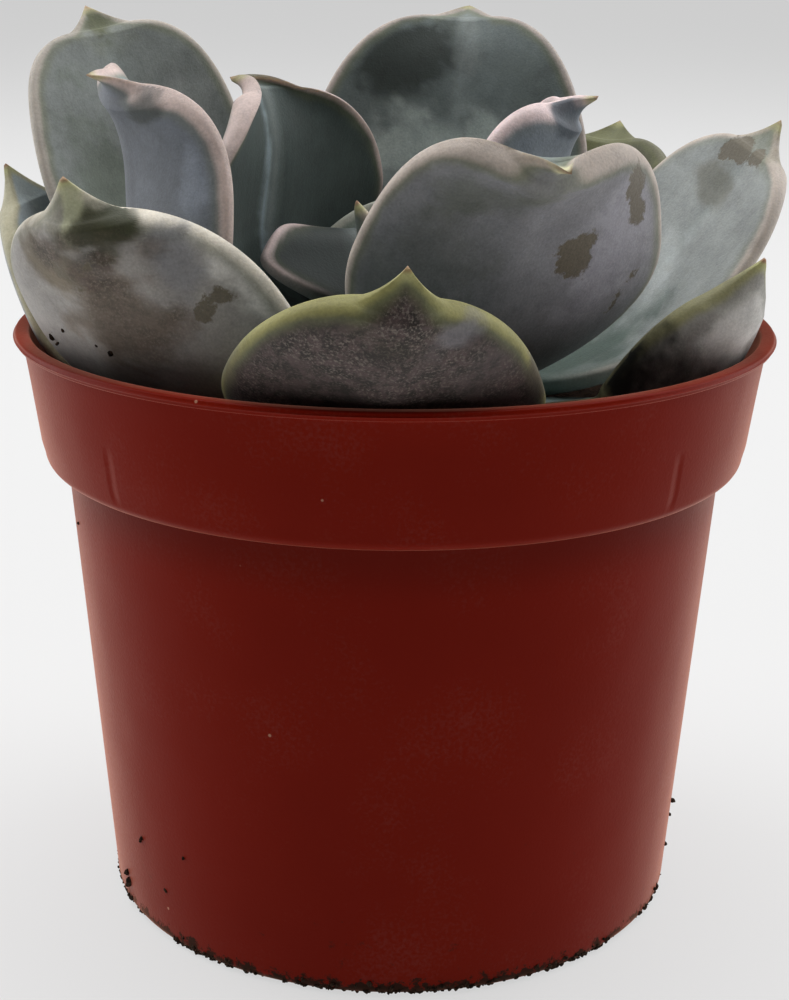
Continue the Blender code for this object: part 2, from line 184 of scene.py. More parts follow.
LEAVES = (
    # Lowest leaves, which go out over the soil and turn up inside the pot's lip
    Leaf("leaf_low_left", 175, -4, 5, 66, (0.36, 0.77), 0, 0.0615, 0.0355, 0.4, -15, 0.0707, 0, 0.95, 0),
    Leaf("leaf_low_front", -94, 20, -4, 47, (0.2, 0.72), 16, 0.0605, 0.0415, 0.35, -8, 0.073, 0, 0.8, 0.5),
    Leaf("leaf_low_right", -26, -7, 3, 61, (0.5, 0.72), 3, 0.055, 0.0275, 0.4, -20, 0.071, -0.15, 1.1, 0.4),
    Leaf("leaf_back_right", 46, 16, 1, 61, (0.05, 0.8), -14, 0.0605, 0.0385, 0.55, 0, 0.0715, 0, 0.7, 0),
    Leaf("leaf_low_back", 113, 0, 0, 62, (0.05, 0.8), -22, 0.056, 0.038, 0.6, 0, 0.072, 0, 0.85, 0),
    # Broad leaves of the main ring
    Leaf("leaf_front_left", -142, 21, 0, 63, (0.28, 0.74), 9, 0.062, 0.046, 0.5, 11, 0.0742, 0.15, 0.85,
         -0.3),
    Leaf("leaf_front_right", -71, 11, 9, 64, (0.05, 0.67), -51, 0.0565, 0.0445, 0.35, -9, 0.0755, 0.15, 0.55,
         1),
    Leaf("leaf_right", 5, -8, 2, 54, (0.02, 0.67), 5, 0.059, 0.0375, 0.26, 29, 0.0735, 0, 0.75, 0),
    Leaf("leaf_back", 75, 6, 9, 74, (-0.06, 0.7), -35, 0.0655, 0.0465, 0.3, 0, 0.0742, 0.05, 0.75, 0.4),
    Leaf("leaf_back_left", 158, -22, 8, 74, (0, 0.76), -20, 0.0685, 0.04, 0.3, -16, 0.0742, 0, 0.6, 0),
    # Inner leaves, steeper and more cupped
    Leaf("leaf_left", -161, 24, 8, 91, (0.18, 0.71), -58, 0.0605, 0.039, 0.43, -15, 0.0772, 0.15, 0.6, 0.2),
    Leaf("leaf_inner_right", -17, 0, 28, 87, (0.05, 0.75), -43, 0.04, 0.0365, 0.85, 0, 0.08, 0, 0.8, 0),
    Leaf("leaf_inner_left", 149, -2, 24, 99, (0.15, 0.67), -59, 0.046, 0.0485, 0.33, 5, 0.077, -0.15, 0.8, 2),
    Leaf("leaf_inner_back", 74, 14, 25, 60, (0.1, 1), -15, 0.029, 0.033, 0.75, 0, 0.077, 0.1, 0.9, 0.3),
    # Youngest full leaves, round the heart
    Leaf("leaf_heart_back", 115, 0, 46, 52, (0.1, 0.8), -96, 0.0165, 0.033, 0.35, 0, 0.081, 0.05, 0.65, 0.2),
    Leaf("leaf_heart_front", -52, 0, 35, 82, (0.1, 0.8), -22, 0.02, 0.022, 0.6, -4, 0.084, 0, 0.85, 0),
    Leaf("leaf_heart_right", 14, 0, 53, 89, (0, 0.8), -22, 0.017, 0.017, 0.7, 0, 0.085, 0, 0.85, 0),
)
LEAF_GROUPS = {"low": LEAVES[:5], "ring": LEAVES[5:10], "inner": LEAVES[10:14], "heart": LEAVES[14:]}

# How one leaf looks: the colour of the waxy bloom on its outer (abaxial) and inner (adaxial) face and of
# its rounded edge, how far in mm that edge colour wraps over the inner face (or the outer one, below 0),
# then from 0 to 1 how yellow-green the zone next to it is, how much brown tan shows through the bloom and
# how bare and olive the tip is
Skin = namedtuple("Skin", "outer inner edge wrap lime tan olive")
PLAIN_SKIN = Skin("#858b8c", "#6d7978", "#b3a49c", 1.0, 0.35, 0.0, 0.2)
SKINS = {
    "leaf_low_left": Skin("#969a9b", "#96a0a4", "#aba68c", 0.0, 0.0, 0.05, 0.1),
    "leaf_low_front": Skin("#352c26", "#6d7978", "#8b8750", 0.3, 0.55, 1.0, 0.3),
    "leaf_low_right": Skin("#8f8c86", "#6d7978", "#8f8c66", 0.0, 0.1, 0.3, 0.1),
    "leaf_back_right": Skin("#6c6d5a", "#5d5d45", "#6f6e55", -1.0, 0.9, 0.1, 0.9),
    "leaf_front_left": Skin("#a39f9a", "#7f8a8c", "#cfc8ba", 1.0, 0.4, 0.15, 0.4),
    "leaf_front_right": Skin("#89898d", "#6d7978", "#b9ada3", 0.0, 0.6, 0.1, 0.2),
    "leaf_right": Skin("#8f9797", "#9b9f9d", "#bbb0a6", -1.0, 0.3, 0.0, 0.4),
    "leaf_back": Skin("#858b8c", "#677170", "#aca19a", -1.0, 0.5, 0.0, 0.1),
    "leaf_back_left": Skin("#858b8c", "#808683", "#b3aba1", -1.0, 0.5, 0.0, 0.2),
    "leaf_left": Skin("#686d75", "#6d7978", "#c9b6af", 1.5, 0.3, 0.0, 0.0),
    "leaf_inner_right": Skin("#868d96", "#6d7978", "#dcc7c6", 0.3, 0.2, 0.0, 0.0),
    "leaf_inner_left": Skin("#858b8c", "#3a4744", "#bfaca6", -1.5, 0.4, 0.0, 0.0),
    "leaf_inner_back": Skin("#858b8c", "#93a09a", "#bfc0b4", -1.0, 0.3, 0.0, 0.0),
    # Its inner face, deep in the rosette, is dark teal, with painted shade that takes it near black
    "leaf_heart_back": Skin("#858b8c", "#14201d", "#c4b0ad", -1.0, 0.2, 0.0, 0.0),
}

# Soft patches of each leaf: face (1 inner, -1 outer), place across and along in mm, half sizes in mm, turn
# in degrees, strength and colour. One without a colour is a tan stain. Broad ones have a half size above
# BROAD_PATCH. Some patches are painted highlights and painted shade, as said where they stand.
BROAD_PATCH = 7
Patch = namedtuple("Patch", "face across along wide long turn strength colour")
PATCHES = {
    # Stains, olive rubbed places and a painted highlight along the margin
    "leaf_front_left": (
        # Painted highlight along the margin
        Patch(-1, 20.2, 50.6, 3.4, 14, 32, 1, "#f0ede7"),
        Patch(-1, -3, 56, 6, 6.5, 20, 0.85, "#695d45"),
        Patch(-1, 5, 60.6, 4, 2.6, -20, 1, "#33361c"),
        Patch(-1, 4.2, 57.4, 2.6, 2.4, 0, 0.9, "#37361f"),
        Patch(-1, 12.6, 58, 1.4, 1.2, 0, 0.7, "#5a563c"),
        Patch(-1, 0.6, 62.5, 1.3, 3.5, 0, 0.7, "#b9bb98"),
        Patch(-1, 2.4, 60.2, 2.6, 2.2, 0, 0.9, "#37371d"),
        Patch(-1, 12, 55, 4, 7, 0, 0.6, "#83848a"),
        Patch(-1, 4, 48, 9, 11, 0, 0.75, "#80705a"),
        Patch(-1, 5, 48, 9, 11, 0, 0.6, None),
        Patch(-1, 2.2, 55.5, 4, 4.5, 30, 0.7, None),
        Patch(-1, -2.5, 58.5, 4, 3, 30, 0.7, None),
    ),
    # A painted highlight on the lilac lobe, a dark shoulder and a pale point
    "leaf_front_right": (
        # Painted highlight on the lobe
        Patch(-1, 15, 42, 8, 17, -8, 0.75, "#a5a3ab"),
        Patch(-1, -9, 40, 9, 14, 0, 0.45, "#6b6c66"),
        Patch(-1, -6, 51, 9, 5, 15, 0.6, "#5c6054"),
        Patch(-1, -4, 30, 10, 10, 0, 0.3, None),
        Patch(-1, 0, 59.6, 2, 2.2, 0, 0.9, "#dedab2"),
        Patch(1, 0, 59.6, 2, 2.2, 0, 0.9, "#dedab2"),
    ),
    # Brown mark, greener base and pale smear
    "leaf_right": (
        Patch(1, 2, 51, 5.5, 3.5, 10, 0.8, "#74746a"),
        Patch(1, -3, 11, 16, 26, 0, 0.9, "#4f6259"),
        Patch(1, 0, 38, 5, 9, -20, 0.6, "#c3c8c6"),
    ),
    # Green tip and base, and paler side
    "leaf_back_left": (
        Patch(1, 0, 69.5, 3, 4.5, 0, 1, "#4f5433"),
        Patch(1, 8, 40, 10, 22, 0, 0.6, "#5a6654"),
        Patch(1, -9, 52, 7, 12, 0, 0.6, "#9a9e9c"),
    ),
    # Clouded wax
    "leaf_back": (
        Patch(1, 9, 58, 13, 8.5, 0, 0.95, "#2e3632"),
        Patch(1, -12, 54, 6, 7, 0, 0.35, "#59625e"),
        Patch(1, -1, 60, 2.6, 7.5, 0, 0.55, "#838b89"),
        Patch(1, 0, 43, 18, 9.5, 0, 0.95, "#a5b0ac"),
    ),
    # Pale midrib
    "leaf_inner_left": (Patch(1, 2.6, 33, 1.6, 17, -3, 0.8, "#84949a"),),
    # Painted shade, blue-grey, on the tip's side that faces away from the light
    "leaf_inner_right": (Patch(-1, -2.6, 40, 3.4, 3.4, 0, 0.95, "#565d66"),),
    # Painted shade in a fold, and a painted highlight on the lit side
    "leaf_left": (
        # Painted shade in the fold
        Patch(-1, 6, 58, 4, 2.5, 0, 0.85, "#3f4442"),
        # Painted highlight on the lit side
        Patch(-1, 15.6, 49, 4, 8, 0, 0.75, "#878e9a"),
    ),
    # Grey place, and darker margins
    "leaf_low_front": (
        Patch(-1, 6.5, 57, 4.5, 3, 20, 0.75, "#7e7b7f"),
        Patch(-1, 10, 49, 8, 7, 0, 0.3, "#6d6566"),
        Patch(-1, -19.5, 46, 3, 6.9, 0, 0.7, "#57523f"),
        Patch(-1, 19, 47, 3.5, 6.9, 0, 0.85, "#4a4239"),
    ),
    # A tan stain, a painted highlight on the lit side and painted shadow on the dark side
    "leaf_low_right": (
        Patch(-1, -2.2, 54, 2, 2.5, 0, 0.4, None),
        # Painted highlight on the lit side
        Patch(-1, 0, 51, 6.5, 11, 0, 0.9, "#cbc8c3"),
        # Painted shadow, nearly black, over the lower side and its edge
        Patch(-1, -11, 41.5, 6.9, 6.9, 0, 1, "#15150d"),
    ),
}

# Scars of each leaf, where the bloom and the skin under it are gone: face, place across and along in mm,
# half sizes in mm and turn in degrees
Scar = namedtuple("Scar", "face across along wide long turn")
SCARS = {
    "leaf_front_right": (
        Scar(-1, 8.6, 41.0, 2.4, 3.4, 30),
        Scar(-1, 9.6, 43.4, 1.6, 1.8, 0),
        Scar(-1, 15.2, 50.4, 1.6, 3.4, 20),
        Scar(-1, 16.8, 46.2, 1.3, 2.4, 20),
        Scar(-1, 17.9, 34.2, 0.45, 2.5, -28),
    ),
    "leaf_front_left": (
        Scar(-1, 16.4, 49.5, 1.7, 1.2, -15),
        Scar(-1, 14.4, 48.2, 1.2, 1.5, 0),
        Scar(-1, 2.0, 56.4, 0.9, 0.6, 30),
        Scar(-1, -1.4, 54.6, 0.8, 2.6, 35),
    ),
    "leaf_right": (
        Scar(1, 2.0, 57.2, 3.0, 1.9, 10),
        Scar(1, -2.0, 57.6, 1.8, 1.3, 0),
        Scar(1, 4.2, 56.0, 1.4, 1.6, 0),
    ),
}

# Heart: a bud of small leaves on the stem's top, turned from each other by the golden angle
BUD_COUNT = 7
BUD_TURN = 137.5
BUD_FIRST_HEADING = 200
BUD_LENGTH = 0.0115
BUD_WIDTH = 0.0075
BUD_SHRINK = 0.87
BUD_TILT = 70
BUD_TILT_STEP = 2
BUD_SHOULDERS = 0.85
BUD_SEAT = -0.0012
BUD_FOOT = 0.0842
BUD_FOOT_STEP = 0.0003
BUD_STEPS = 40

# Fine form on the leaves: a rounded bead along the edge, a groove along the midrib of the inner face, a
# keel on the outer face towards the tip, and a slight waviness, with heights for a leaf of FORM_WIDTH
FORM_WIDTH = 0.042
BEAD_HEIGHT = 0.00008
BEAD_WIDTH = 0.0030
GROOVE_DEPTH = 0.00035
GROOVE_WIDTH = 0.0022
KEEL_HEIGHT = 0.0006
KEEL_WIDTH = 0.0030
WAVE_HEIGHT = 0.0003
WAVE_LENGTH = 0.012

# In mm: how far the edge colour reaches in from the edge, and the yellow-green zone next to it, and the
# size of the pattern that makes their borders uneven
EDGE_REACH = 0.9
LIME_REACH = 1.4
DRIFT_SIZE = 5
SKIN_NAME = "succulent leaf skin with waxy bloom"

# Camera: the photographed view, and its lens as 36 mm film on the long side
CAMERA_PLACE = (0.00016, -0.2599, 0.1364)
CAMERA_PITCH = 72.85
CAMERA_ROLL = 0.53
CAMERA_LENS = 67.7
FILM_WIDTH = 36

# Lights: name, place, width and height, and power, all turned to LIGHT_TARGET, and the grey of the
# surroundings, as light and as the camera sees them
LIGHT_TARGET = (0, 0, 0.07)
LIGHTS = (
    ("top light", (0, 0.25, 1.1), (1.4, 1.1), 16),
    ("left light", (-1.0, 0.35, 0.45), (0.9, 1.2), 9.5),
    ("right light", (1.0, 0.35, 0.45), (0.9, 1.2), 8.5),
)
WORLD_LIGHT = 0.06
WORLD_SEEN = 0.62


# Helpers


def linear(colour):
    """An sRGB hex colour as linear red, green, blue and alpha."""
    channels = [int(colour[i : i + 2], 16) / 255 for i in (1, 3, 5)]
    return tuple(c / 12.92 if c <= 0.04045 else ((c + 0.055) / 1.055) ** 2.4 for c in channels) + (1.0,)


def smooth(x):
    x = np.clip(x, 0, 1)
    return x * x * (3 - 2 * x)


def polar(radius, angle, height):
    """The point at a radius and an angle round the pot's axis, and at a height."""
    return radius * math.cos(angle), radius * math.sin(angle), height


def linked_object(name, data):
    """Adds an object to the scene."""
    made = bpy.data.objects.new(name, data)
    bpy.context.scene.collection.objects.link(made)
    return made


def new_object(name, mesh, slot, material, *nodes):
    """Adds a piece to the scene: it rides on the body and stands for the CAD nodes named."""
    made = linked_object(name, mesh)
    if material:
        mesh.materials.append(material)
    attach(made, BODY)
    if nodes:
        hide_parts(*nodes)
    return made


def mesh_from(bm, name):
    """A smooth mesh from a bmesh, which is freed."""
    mesh = bpy.data.meshes.new(name)
    bm.to_mesh(mesh)
    bm.free()
    mesh.shade_smooth()
    return mesh


def turned_mesh(name, profile, steps):
    """A turned mesh. The profile runs down the outer side, top to bottom, and back up inside."""
    bm = bmesh.new()
    rings = []
    for radius, height in profile:
        count = steps if radius > 0 else 1
        rings.append([bm.verts.new(polar(radius, math.tau * i / steps, height)) for i in range(count)])
    pairs = list(zip(rings, rings[1:]))
    if len(rings[0]) > 1:
        pairs.append((rings[-1], rings[0]))
    for above, below in pairs:
        a, b = len(above), len(below)
        if a == b == 1:
            continue
        for i in range(steps):
            j = (i + 1) % steps
            corners = (above[i % a], below[i % b], below[j % b], above[j % a])
            bm.faces.new(list(dict.fromkeys(corners)))
    bmesh.ops.recalc_face_normals(bm, faces=bm.faces)
    return mesh_from(bm, name)


def arc(centre_radius, centre_height, size, start, end, count):
    """Points of a rounded corner in a profile, between two angles in degrees."""
    angles = [math.radians(start + (end - start) * i / count) for i in range(count + 1)]
    return [(centre_radius + size * math.cos(a), centre_height + size * math.sin(a)) for a in angles]


def cut_or_join(obj, helpers, operation):
    """Applies a Boolean with each helper in turn and removes it."""
    for helper in helpers:
        step = obj.modifiers.new(operation.lower(), "BOOLEAN")
        step.operation = operation
        step.object = helper
        step.solver = "EXACT"
    graph = bpy.context.evaluated_depsgraph_get()
    mesh = bpy.data.meshes.new_from_object(obj.evaluated_get(graph))
    obj.modifiers.clear()
    obj.data = mesh
    for helper in helpers:
        bpy.data.objects.remove(helper, do_unlink=True)


# Materials

# Settings of the shader nodes used most, and the places of the Mix node's sockets when it mixes colours
MULTIPLY = {"operation": "MULTIPLY"}
MULTIPLY_ADD = {"operation": "MULTIPLY_ADD"}
ABSOLUTE = {"operation": "ABSOLUTE"}
COLOUR_MIX = {"data_type": "RGBA"}
MIX_FACTOR, MIX_A, MIX_B = 0, 6, 7


def set_inputs(node, inputs):
    """Sets a shader node's inputs, colours from hex, or links them to a socket or a node's first output."""
    for key, value in inputs.items():
        if isinstance(value, str):
            value = linear(value)
        if isinstance(value, bpy.types.Node):
            value = next(socket for socket in value.outputs if socket.enabled)
        if isinstance(value, bpy.types.NodeSocket):
            node.id_data.links.new(value, node.inputs[key])
        else:
            node.inputs[key].default_value = value


def add_node(tree, kind, settings=None, inputs=None):
    """Adds a shader node with its settings, and sets or links its inputs."""
    made = tree.nodes.new("ShaderNode" + kind)
    for name, value in (settings or {}).items():
        setattr(made, name, value)
    set_inputs(made, inputs or {})
    return made


def new_material(name):
    """A new material, with its shader, a function that adds a node to it, and places on the piece in mm."""
    material = bpy.data.materials.new(name)
    material.use_nodes = True
    add = partial(add_node, material.node_tree)
    place = add("TexCoord").outputs["Object"]
    mm = add("VectorMath", {"operation": "SCALE"}, {0: place, "Scale": 1000.0})
    return material, material.node_tree.nodes["Principled BSDF"], add, mm


def polypropylene(settings):
    """Moulded polypropylene with terracotta pigment: satin, dulled by handling, dirty at its foot, with
    painted shade on the wall under the band.
    """
    material, shader, add, mm = new_material("moulded terracotta polypropylene")
    x, y, height = add("SeparateXYZ", None, {0: mm}).outputs
    clouds, grains, drifts, splashes, ragged, texture, waves = (
        add("TexNoise", None, {"Vector": mm, "Scale": scale, "Detail": detail, "Roughness": roughness})
        for scale, detail, roughness in (
            (0.04, 3.0, 0.5),  # pigment that isn't quite even, in clouds about 25 mm across
            (2.0, 4.0, 0.5),  # grains of dust, about 0.5 mm
            (0.08, 2.0, 0.5),  # clouds of 12 mm in which the dust gathers
            (0.35, 5.0, 0.75),  # splashes of soil, about 3 mm
            (0.5, 6.0, 0.75),  # ragged upper edge of the dirt on the foot
            (2.5, 2.0, 0.5),  # the mould's fine texture, about 0.4 mm
            (0.09, 1.0, 0.5),  # slight waves in the wall
        )
    )
    grit = add("TexVoronoi", None, {"Vector": mm, "Scale": 0.12})
    dust = add("Math", MULTIPLY, {0: grains, 1: drifts})
    low = add("MapRange", None, {"Value": height, "From Min": 30.0, "From Max": 6.0, "To Max": 0.1})
    splashes = add("Math", {"operation": "ADD"}, {0: splashes, 1: low})
    dirt_edge = add("Math", MULTIPLY_ADD, {0: ragged, 1: -9.0, 2: height})
    # The stacking ribs stand behind the band on its diagonals, where x and y are equally far out
    x, y = (add("Math", ABSOLUTE, {0: axis}) for axis in (x, y))
    from_rib = add("Math", {"operation": "SUBTRACT"}, {0: x, 1: y})
    from_rib = add("Math", ABSOLUTE, {0: from_rib})
    dusted, splashed, speck, dirt, gloss, beside, above, painted_shade_under_band, sunk = (
        add(
            "MapRange",
            {"interpolation_type": curve},
            {"Value": value, "From Min": start, "From Max": end, "To Min": least, "To Max": most},
        )
        for curve, value, start, end, least, most in (
            ("LINEAR", dust, 0.28, 0.5, 0.0, settings.dust),  # pale dust, wiped thin
            ("LINEAR", splashes, 0.72, 0.8, 0.0, 0.6),  # a few reddish-brown splashes, low on the wall
            ("LINEAR", grit, 0.032, 0.018, 0.0, 0.7),  # pale specks, 0.4 mm wide and a few cm apart
            ("LINEAR", dirt_edge, -2.4, -3.0, 0.0, 0.96),  # wet soil dried on the foot
            ("LINEAR", grains, 0.3, 0.7, 0.30, 0.40),  # roughness of the clean plastic
            ("LINEAR", height, 74.0, 72.0, 0.0, 1.0),  # top and foot of the sink marks
            ("LINEAR", height, 65.5, 67.0, 0.0, 1.0),
            ("SMOOTHSTEP", height, 56.0, 64.0, 0.0, 0.45),  # painted shade on the wall under the band, darkest just below it
            ("SMOOTHSTEP", from_rib, 0.0, 1.6, -6.0, 0.0),  # sink marks, about 1 mm wide, where ribs stand
        )
    )
    # The painted shade under the band stays on the wall below the step
    on_wall = add("Math", {"operation": "LESS_THAN"}, {0: height, 1: 64.7})
    painted_shade_under_band = add("Math", MULTIPLY, {0: painted_shade_under_band, 1: on_wall})
    colour = settings.plastic_dark
    for share, tone in (
        (clouds, settings.plastic_light),
        (dusted, "#9a7f76"),
        (splashed, "#3a1a12"),
        (speck, "#b98a72"),
        # painted shade under the band
        (painted_shade_under_band, "#430b03"),
        (dirt, settings.dirt),
    ):
        colour = add("Mix", COLOUR_MIX, {MIX_FACTOR: share, MIX_A: colour, MIX_B: tone})
    rough = add("Mix", {"data_type": "FLOAT"}, {0: dirt, 2: gloss, 3: 0.9})
    sunk = add("Math", MULTIPLY, {0: sunk, 1: beside})
    relief = add("Math", MULTIPLY_ADD, {0: waves, 1: 8.0, 2: texture})
    relief = add("Math", MULTIPLY_ADD, {0: sunk, 1: above, 2: relief})
    set_inputs(shader, {
        "Base Color": colour,
        "Roughness": rough,
        "Normal": add("Bump", None, {"Height": relief, "Strength": 0.25, "Distance": 0.00008}),
        "IOR": 1.49,
        "Specular IOR Level": 0.04,
        # Dust and handling scuffs pale the plastic where it is seen at a glancing angle
        "Sheen Weight": 0.75,
        "Sheen Roughness": 0.3,
        "Sheen Tint": "#ffb498",
    })
    return material


def potting_mix(settings):
    """Peat and composted bark, pressed by hand: nearly black fibres and paler brown crumbs, quite matt."""
    material, shader, add, mm = new_material("peat and bark potting mix")
    # Crumbs of about 1 mm among fibres of 0.5 mm
    crumbs = add("TexVoronoi", None, {"Vector": mm, "Scale": 1.1})
    fibres = add("TexNoise", None, {"Vector": mm, "Scale": 2.2, "Detail": 5.0})
    ramp = add("ValToRGB", None, {"Fac": fibres})
    stops = ((settings.peat, 0.35), (settings.bark, 0.75))
    for stop, (tone, position) in zip(ramp.color_ramp.elements, stops):
        stop.color = linear(tone)
        stop.position = position
    height = add("Math", MULTIPLY_ADD, {0: crumbs, 1: -0.6, 2: fibres})
    bump = add("Bump", None, {"Height": height, "Strength": 0.9, "Distance": 0.0006})
    set_inputs(shader, {"Base Color": ramp, "Roughness": 0.95, "Specular IOR Level": 0.1, "Normal": bump})
    return material


def leaf_skin(settings):
    """Succulent leaf skin under farina, a waxy bloom: chalky and matt, mottled where it is rubbed thin."""
    material, shader, add, solid = new_material(SKIN_NAME)
    leaf_mm, tint, tan, scar = (
        add("Attribute", {"attribute_name": name}).outputs[output]
        for name, output in (("leaf_mm", "Vector"), ("tint", "Color"), ("tan", "Fac"), ("scar", "Fac"))
    )
    stretched = add("VectorMath", MULTIPLY, {0: leaf_mm, 1: (1.0, 0.1, 1.0)})
    grains, streaks, clouds, blotches = (
        add("TexNoise", None, {"Vector": vector, "Scale": scale, "Detail": detail, "Roughness": roughness})
        for vector, scale, detail, roughness in (
            (solid, 3.0, 3.0, 0.6),  # grains of wax, about 0.35 mm: real ones are finer and would not show
            (stretched, 0.9, 3.0, 0.5),  # wipe marks and drip lines, 1 mm wide and 10 mm long
            (solid, 0.16, 4.0, 0.6),  # clouds where the wax lies thinner, about 6 mm
            (solid, 0.6, 5.0, 0.7),  # blotches of 1 mm
        )
    )
    # Brightness of the bloom: the four patterns together
    light = 0.0
    for pattern, weight in ((clouds, 0.90), (streaks, 0.14), (grains, 0.56), (blotches, 0.42)):
        light = add("Math", MULTIPLY_ADD, {0: pattern, 1: weight, 2: light})
    waxy = add("HueSaturation", None, {"Value": light, "Color": tint})
    # Inside a scar its attribute is the distance from the edge in mm, which the blotches make ragged
    ragged = add("Math", MULTIPLY_ADD, {0: blotches, 1: 3.4, 2: scar})
    purple, specks, patchy, worn, scarred = (
        add(
            "MapRange",
            None,
            {"Value": value, "From Min": start, "From Max": end, "To Min": least, "To Max": most},
        )
        for value, start, end, least, most in (
            (blotches, 0.42, 0.58, 0.0, 1.0),  # rubbed and sun-tanned skin goes from brown to purple
            (grains, 0.50, 0.66, 0.0, 0.85),  # pale specks of wax left on it
            (clouds, 0.38, 0.56, 0.2, 1.0),  # which gather in clouds
            (clouds, 0.3, 0.6, 0.6, 1.0),  # how far the bloom is worn off it
            (ragged, 1.55, 1.95, 0.0, 0.92),  # dead skin of the scars
        )
    )
    specks = add("Math", MULTIPLY, {0: specks, 1: patchy})
    worn = add("Math", MULTIPLY, {0: worn, 1: tan})
    tanned = settings.tan
    for share, tone in ((purple, settings.purple), (specks, settings.specks)):
        tanned = add("Mix", COLOUR_MIX, {MIX_FACTOR: share, MIX_A: tanned, MIX_B: tone})
    scar_tones = {MIX_A: settings.scar_dark, MIX_B: settings.scar_light}
    dead = add("Mix", COLOUR_MIX, {MIX_FACTOR: grains, **scar_tones})
    colour = add("Mix", COLOUR_MIX, {MIX_FACTOR: worn, MIX_A: waxy, MIX_B: tanned})
    colour = add("Mix", COLOUR_MIX, {MIX_FACTOR: scarred, MIX_A: colour, MIX_B: dead})
    relief = add("Math", MULTIPLY_ADD, {0: streaks, 1: 0.7, 2: grains})
    relief = add("Math", MULTIPLY_ADD, {0: scarred, 1: -0.8, 2: relief})
    set_inputs(shader, {
        "Base Color": colour,
        "Roughness": add("MapRange", None, {"Value": scarred, "To Min": 0.62, "To Max": 0.45}),
        "Normal": add("Bump", None, {"Height": relief, "Strength": 0.5, "Distance": 0.0001}),
        "Specular IOR Level": 0.3,
        "Sheen Weight": 0.12,
        "Sheen Roughness": 0.6,
        "Subsurface Weight": 0.15,
        "Subsurface Scale": 0.0015,
        "Subsurface Radius": (1.0, 0.8, 0.5),
    })
    return material


def stem_tissue():
    """Succulent stem: pale corky green-brown, matt."""
    material, shader, add, mm = new_material("corky succulent stem")
    cork = add("TexNoise", None, {"Vector": mm, "Scale": 1.5, "Detail": 5.0})
    tones = {MIX_A: "#6d6a52", MIX_B: "#8f8a6c"}
    colour = add("Mix", COLOUR_MIX, {MIX_FACTOR: cork, **tones})
    bump = add("Bump", None, {"Height": cork, "Strength": 0.7, "Distance": 0.0004})
    set_inputs(shader, {"Base Color": colour, "Roughness": 0.75, "Normal": bump})
    return material


# Pot


def wall_radius(height):
    """Outer radius of the pot's tapered body at a height."""
    return BASE_RADIUS + (BODY_TOP_RADIUS - BASE_RADIUS) * height / BAND_FOOT


def band_radius(height):
    """Outer radius of the pot's band at a height."""
    share = (height - BAND_FOOT) / (LIP_TOP - LIP_THICK - BAND_FOOT)
    return BAND_FOOT_RADIUS + (BAND_TOP_RADIUS - BAND_FOOT_RADIUS) * share


def pot_profile():
    """Half section of the pot: outside from the lip down, then the base, then inside and up again."""
    shelf = BAND_FOOT + WALL
    under_lip = LIP_TOP - LIP_THICK
    parting = LIP_TOP - LIP_THICK / 2
    outside = arc(LIP_RADIUS - LIP_CORNER, LIP_TOP - LIP_CORNER, LIP_CORNER, 90, 0, 5)
    outside += [(LIP_RADIUS, parting + PARTING_RIDGE), (LIP_RADIUS + PARTING_RIDGE, parting)]
    outside += [(LIP_RADIUS, parting - PARTING_RIDGE)]
    outside += arc(LIP_RADIUS - LIP_CORNER, under_lip + LIP_CORNER, LIP_CORNER, 0, -90, 5)
    outside += arc(BAND_TOP_RADIUS + LIP_CORNER, under_lip - LIP_CORNER, LIP_CORNER, 90, 180, 3)
    outside += [(band_radius(z), z) for z in BAND_HEIGHTS]
    outside += arc(BAND_FOOT_RADIUS - BAND_CORNER, BAND_FOOT + BAND_CORNER, BAND_CORNER, 0, -90, 7)
    outside += arc(BODY_TOP_RADIUS + LIP_CORNER, BAND_FOOT - LIP_CORNER, LIP_CORNER, 90, 180, 3)
    outside += [(wall_radius(z), z) for z in WALL_HEIGHTS]
    outside += arc(wall_radius(BASE_CORNER) - BASE_CORNER, BASE_CORNER, BASE_CORNER, 0, -90, 7)
    outside += [(radius, 0) for radius in BASE_RADII]
    inside = [(radius, BASE_THICK) for radius in reversed(BASE_RADII)]
    inside += [(wall_radius(BASE_THICK) - WALL, BASE_THICK)]
    inside += [(BODY_TOP_RADIUS - WALL, shelf), (band_radius(shelf) - WALL, shelf)]
    inside += [(BAND_TOP_RADIUS - WALL, under_lip - LIP_THICK / 2), (LIP_BORE, under_lip)]
    inside += arc(LIP_BORE + LIP_CORNER, LIP_TOP - LIP_CORNER, LIP_CORNER, 180, 90, 3)
    return outside + inside


def drain_cutters():
    """Upright cylinders on a circle through the base, one for each drain hole."""
    cutters = []
    for i in range(DRAIN_COUNT):
        bm = bmesh.new()
        size = {"radius1": DRAIN_RADIUS, "radius2": DRAIN_RADIUS, "depth": BASE_THICK * 4}
        bmesh.ops.create_cone(bm, cap_ends=True, segments=DRAIN_SEGMENTS, **size)
        place = polar(DRAIN_CIRCLE, math.tau * (i + 0.5) / DRAIN_COUNT, BASE_THICK / 2)
        bmesh.ops.translate(bm, verts=bm.verts, vec=place)
        cutters.append(linked_object(f"drain_{i}", mesh_from(bm, f"drain_{i}")))
    return cutters


def rib_blocks():
    """Blocks inside the band that keep stacked pots apart, each reaching halfway into the wall."""
    blocks = []
    shelf = BAND_FOOT + WALL
    inner = band_radius(shelf) - WALL - RIB_DEPTH
    for i in range(RIB_COUNT):
        bm = bmesh.new()
        bmesh.ops.create_cube(bm, size=1)
        for vert in bm.verts:
            height = RIB_TOP if vert.co.z > 0 else shelf - WALL / 2
            radius = band_radius(height) - WALL / 2 if vert.co.x > 0 else inner
            vert.co = Vector((radius, vert.co.y * RIB_THICK, height))
        turn = Matrix.Rotation(math.tau * (i + 0.5) / RIB_COUNT, 4, "Z")
        bmesh.ops.transform(bm, matrix=turn, verts=bm.verts)
        blocks.append(linked_object(f"rib_{i}", mesh_from(bm, f"rib_{i}")))
    return blocks


# Soil, stem and crumbs


def soil_edge_radius():
    """Radius of the soil's top, where it meets the band."""
    return band_radius(SOIL_EDGE) - WALL - 2 * FIT


